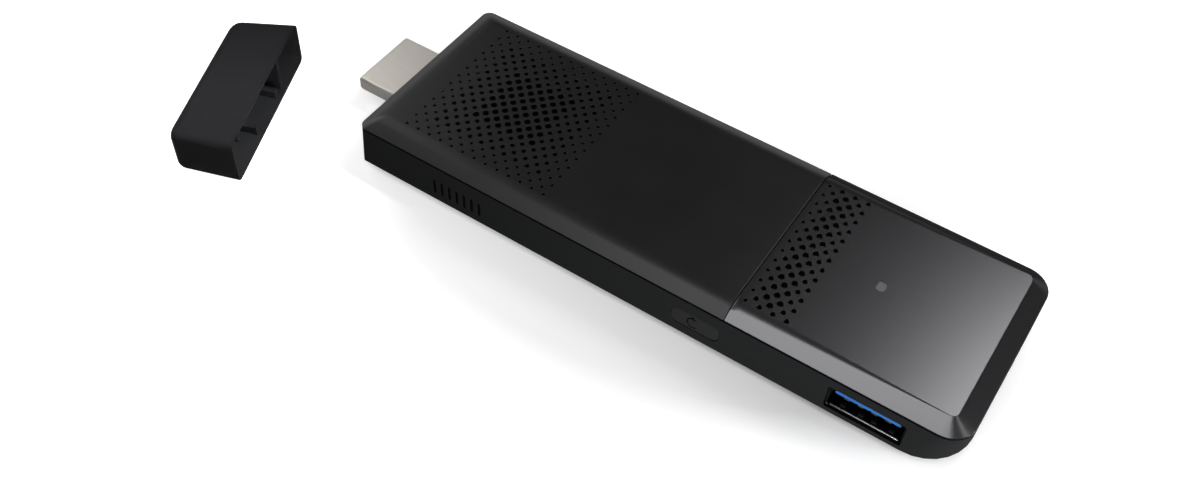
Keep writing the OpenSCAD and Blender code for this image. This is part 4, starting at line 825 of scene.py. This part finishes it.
lens = bpy.data.cameras.new("camera")
lens.sensor_fit = "HORIZONTAL"
lens.sensor_width = SENSOR
lens.lens = FOCAL / PHOTO_W * SENSOR
lens.clip_start = 0.01
camera = bpy.data.objects.new("camera", lens)
turn = Matrix((RIGHT, -DOWN, -AHEAD)).transposed()
camera.matrix_world = Matrix.Translation(EYE) @ turn.to_4x4()
bpy.context.scene.collection.objects.link(camera)
bpy.context.scene.camera = camera


# Studio light

def softbox(name, at, towards, size, power, spread=180):
    """Rectangular lamp in metres, turned towards a point; a grid in front of it can narrow its spread."""
    data = bpy.data.lights.new(name, "AREA")
    data.shape = "RECTANGLE"
    data.size, data.size_y = size
    data.energy = power
    data.spread = math.radians(spread)
    lamp = bpy.data.objects.new(name, data)
    aim = (Vector(towards) - Vector(at)).to_track_quat("-Z", "Y")
    lamp.matrix_world = Matrix.Translation(at) @ aim.to_matrix().to_4x4()
    bpy.context.scene.collection.objects.link(lamp)


# Overall light from above and from the left, and a low lamp beyond the rear end
softbox("top_box", (0.03, -0.17, 0.42), (0, -0.02, 0), (0.4, 0.18), 0.66)
softbox("left_box", (-0.42, 0.02, 0.28), (-0.04, 0, 0), (0.3, 0.4), 0.6)
softbox("rear_key", (0.2, 0.02, 0.035), (0.03, -0.015, 0), (0.05, 0.04), 0.22)
# Panels that show in the lacquer and in the plug
softbox("rear_panel", (0.102, 0.225, 0.36), (0.045, -0.01, 0.012), (0.15, 0.15), 0.38)
softbox("streak", (0.342, 0.031, 0.283), (0.05, -0.01, 0.012), (0.06, 0.15), 0.05)
softbox("plug_panel", (-0.29, 0.215, 0.28), (-0.062, 0, 0.007), (0.1, 0.1), 0.029)
# Narrow fills for the near wall and for the mouth of the cap
softbox("low_fill", (0.16, -0.16, 0.012), (0.022, -0.019, 0.006), (0.08, 0.016), 0.06, 42)
softbox("mouth_fill", (0.06, 0.03, 0.17), (-0.084, -0.028, 0.007), (0.03, 0.03), 0.012, 14)

# Room: pale near the horizon, dark overhead, and white to the camera
world = bpy.data.worlds.new("studio")
bpy.context.scene.world = world
world.use_nodes = True
room = world.node_tree
room.nodes.clear()
ray = add(room, "ShaderNodeTexCoord", {})
up = add(room, "ShaderNodeSeparateXYZ", {}, [(0, ray.outputs["Generated"])])
fade = add(room, "ShaderNodeMapRange", {"From Min": FADE_FROM, "From Max": FADE_TO,
                                        "To Min": ROOM_LOW, "To Max": ROOM_HIGH},
           [("Value", up.outputs["Z"])])
path = add(room, "ShaderNodeLightPath", {})
shown = add(room, "ShaderNodeMath", {"operation": "MAXIMUM"},
            [(0, fade.outputs[0]), (1, path.outputs["Is Camera Ray"])])
air = add(room, "ShaderNodeBackground", {"Color": linear("#ffffff")}, [("Strength", shown.outputs[0])])
add(room, "ShaderNodeOutputWorld", {}, [("Surface", air.outputs[0])])

bpy.context.scene.view_settings.view_transform = "Standard"
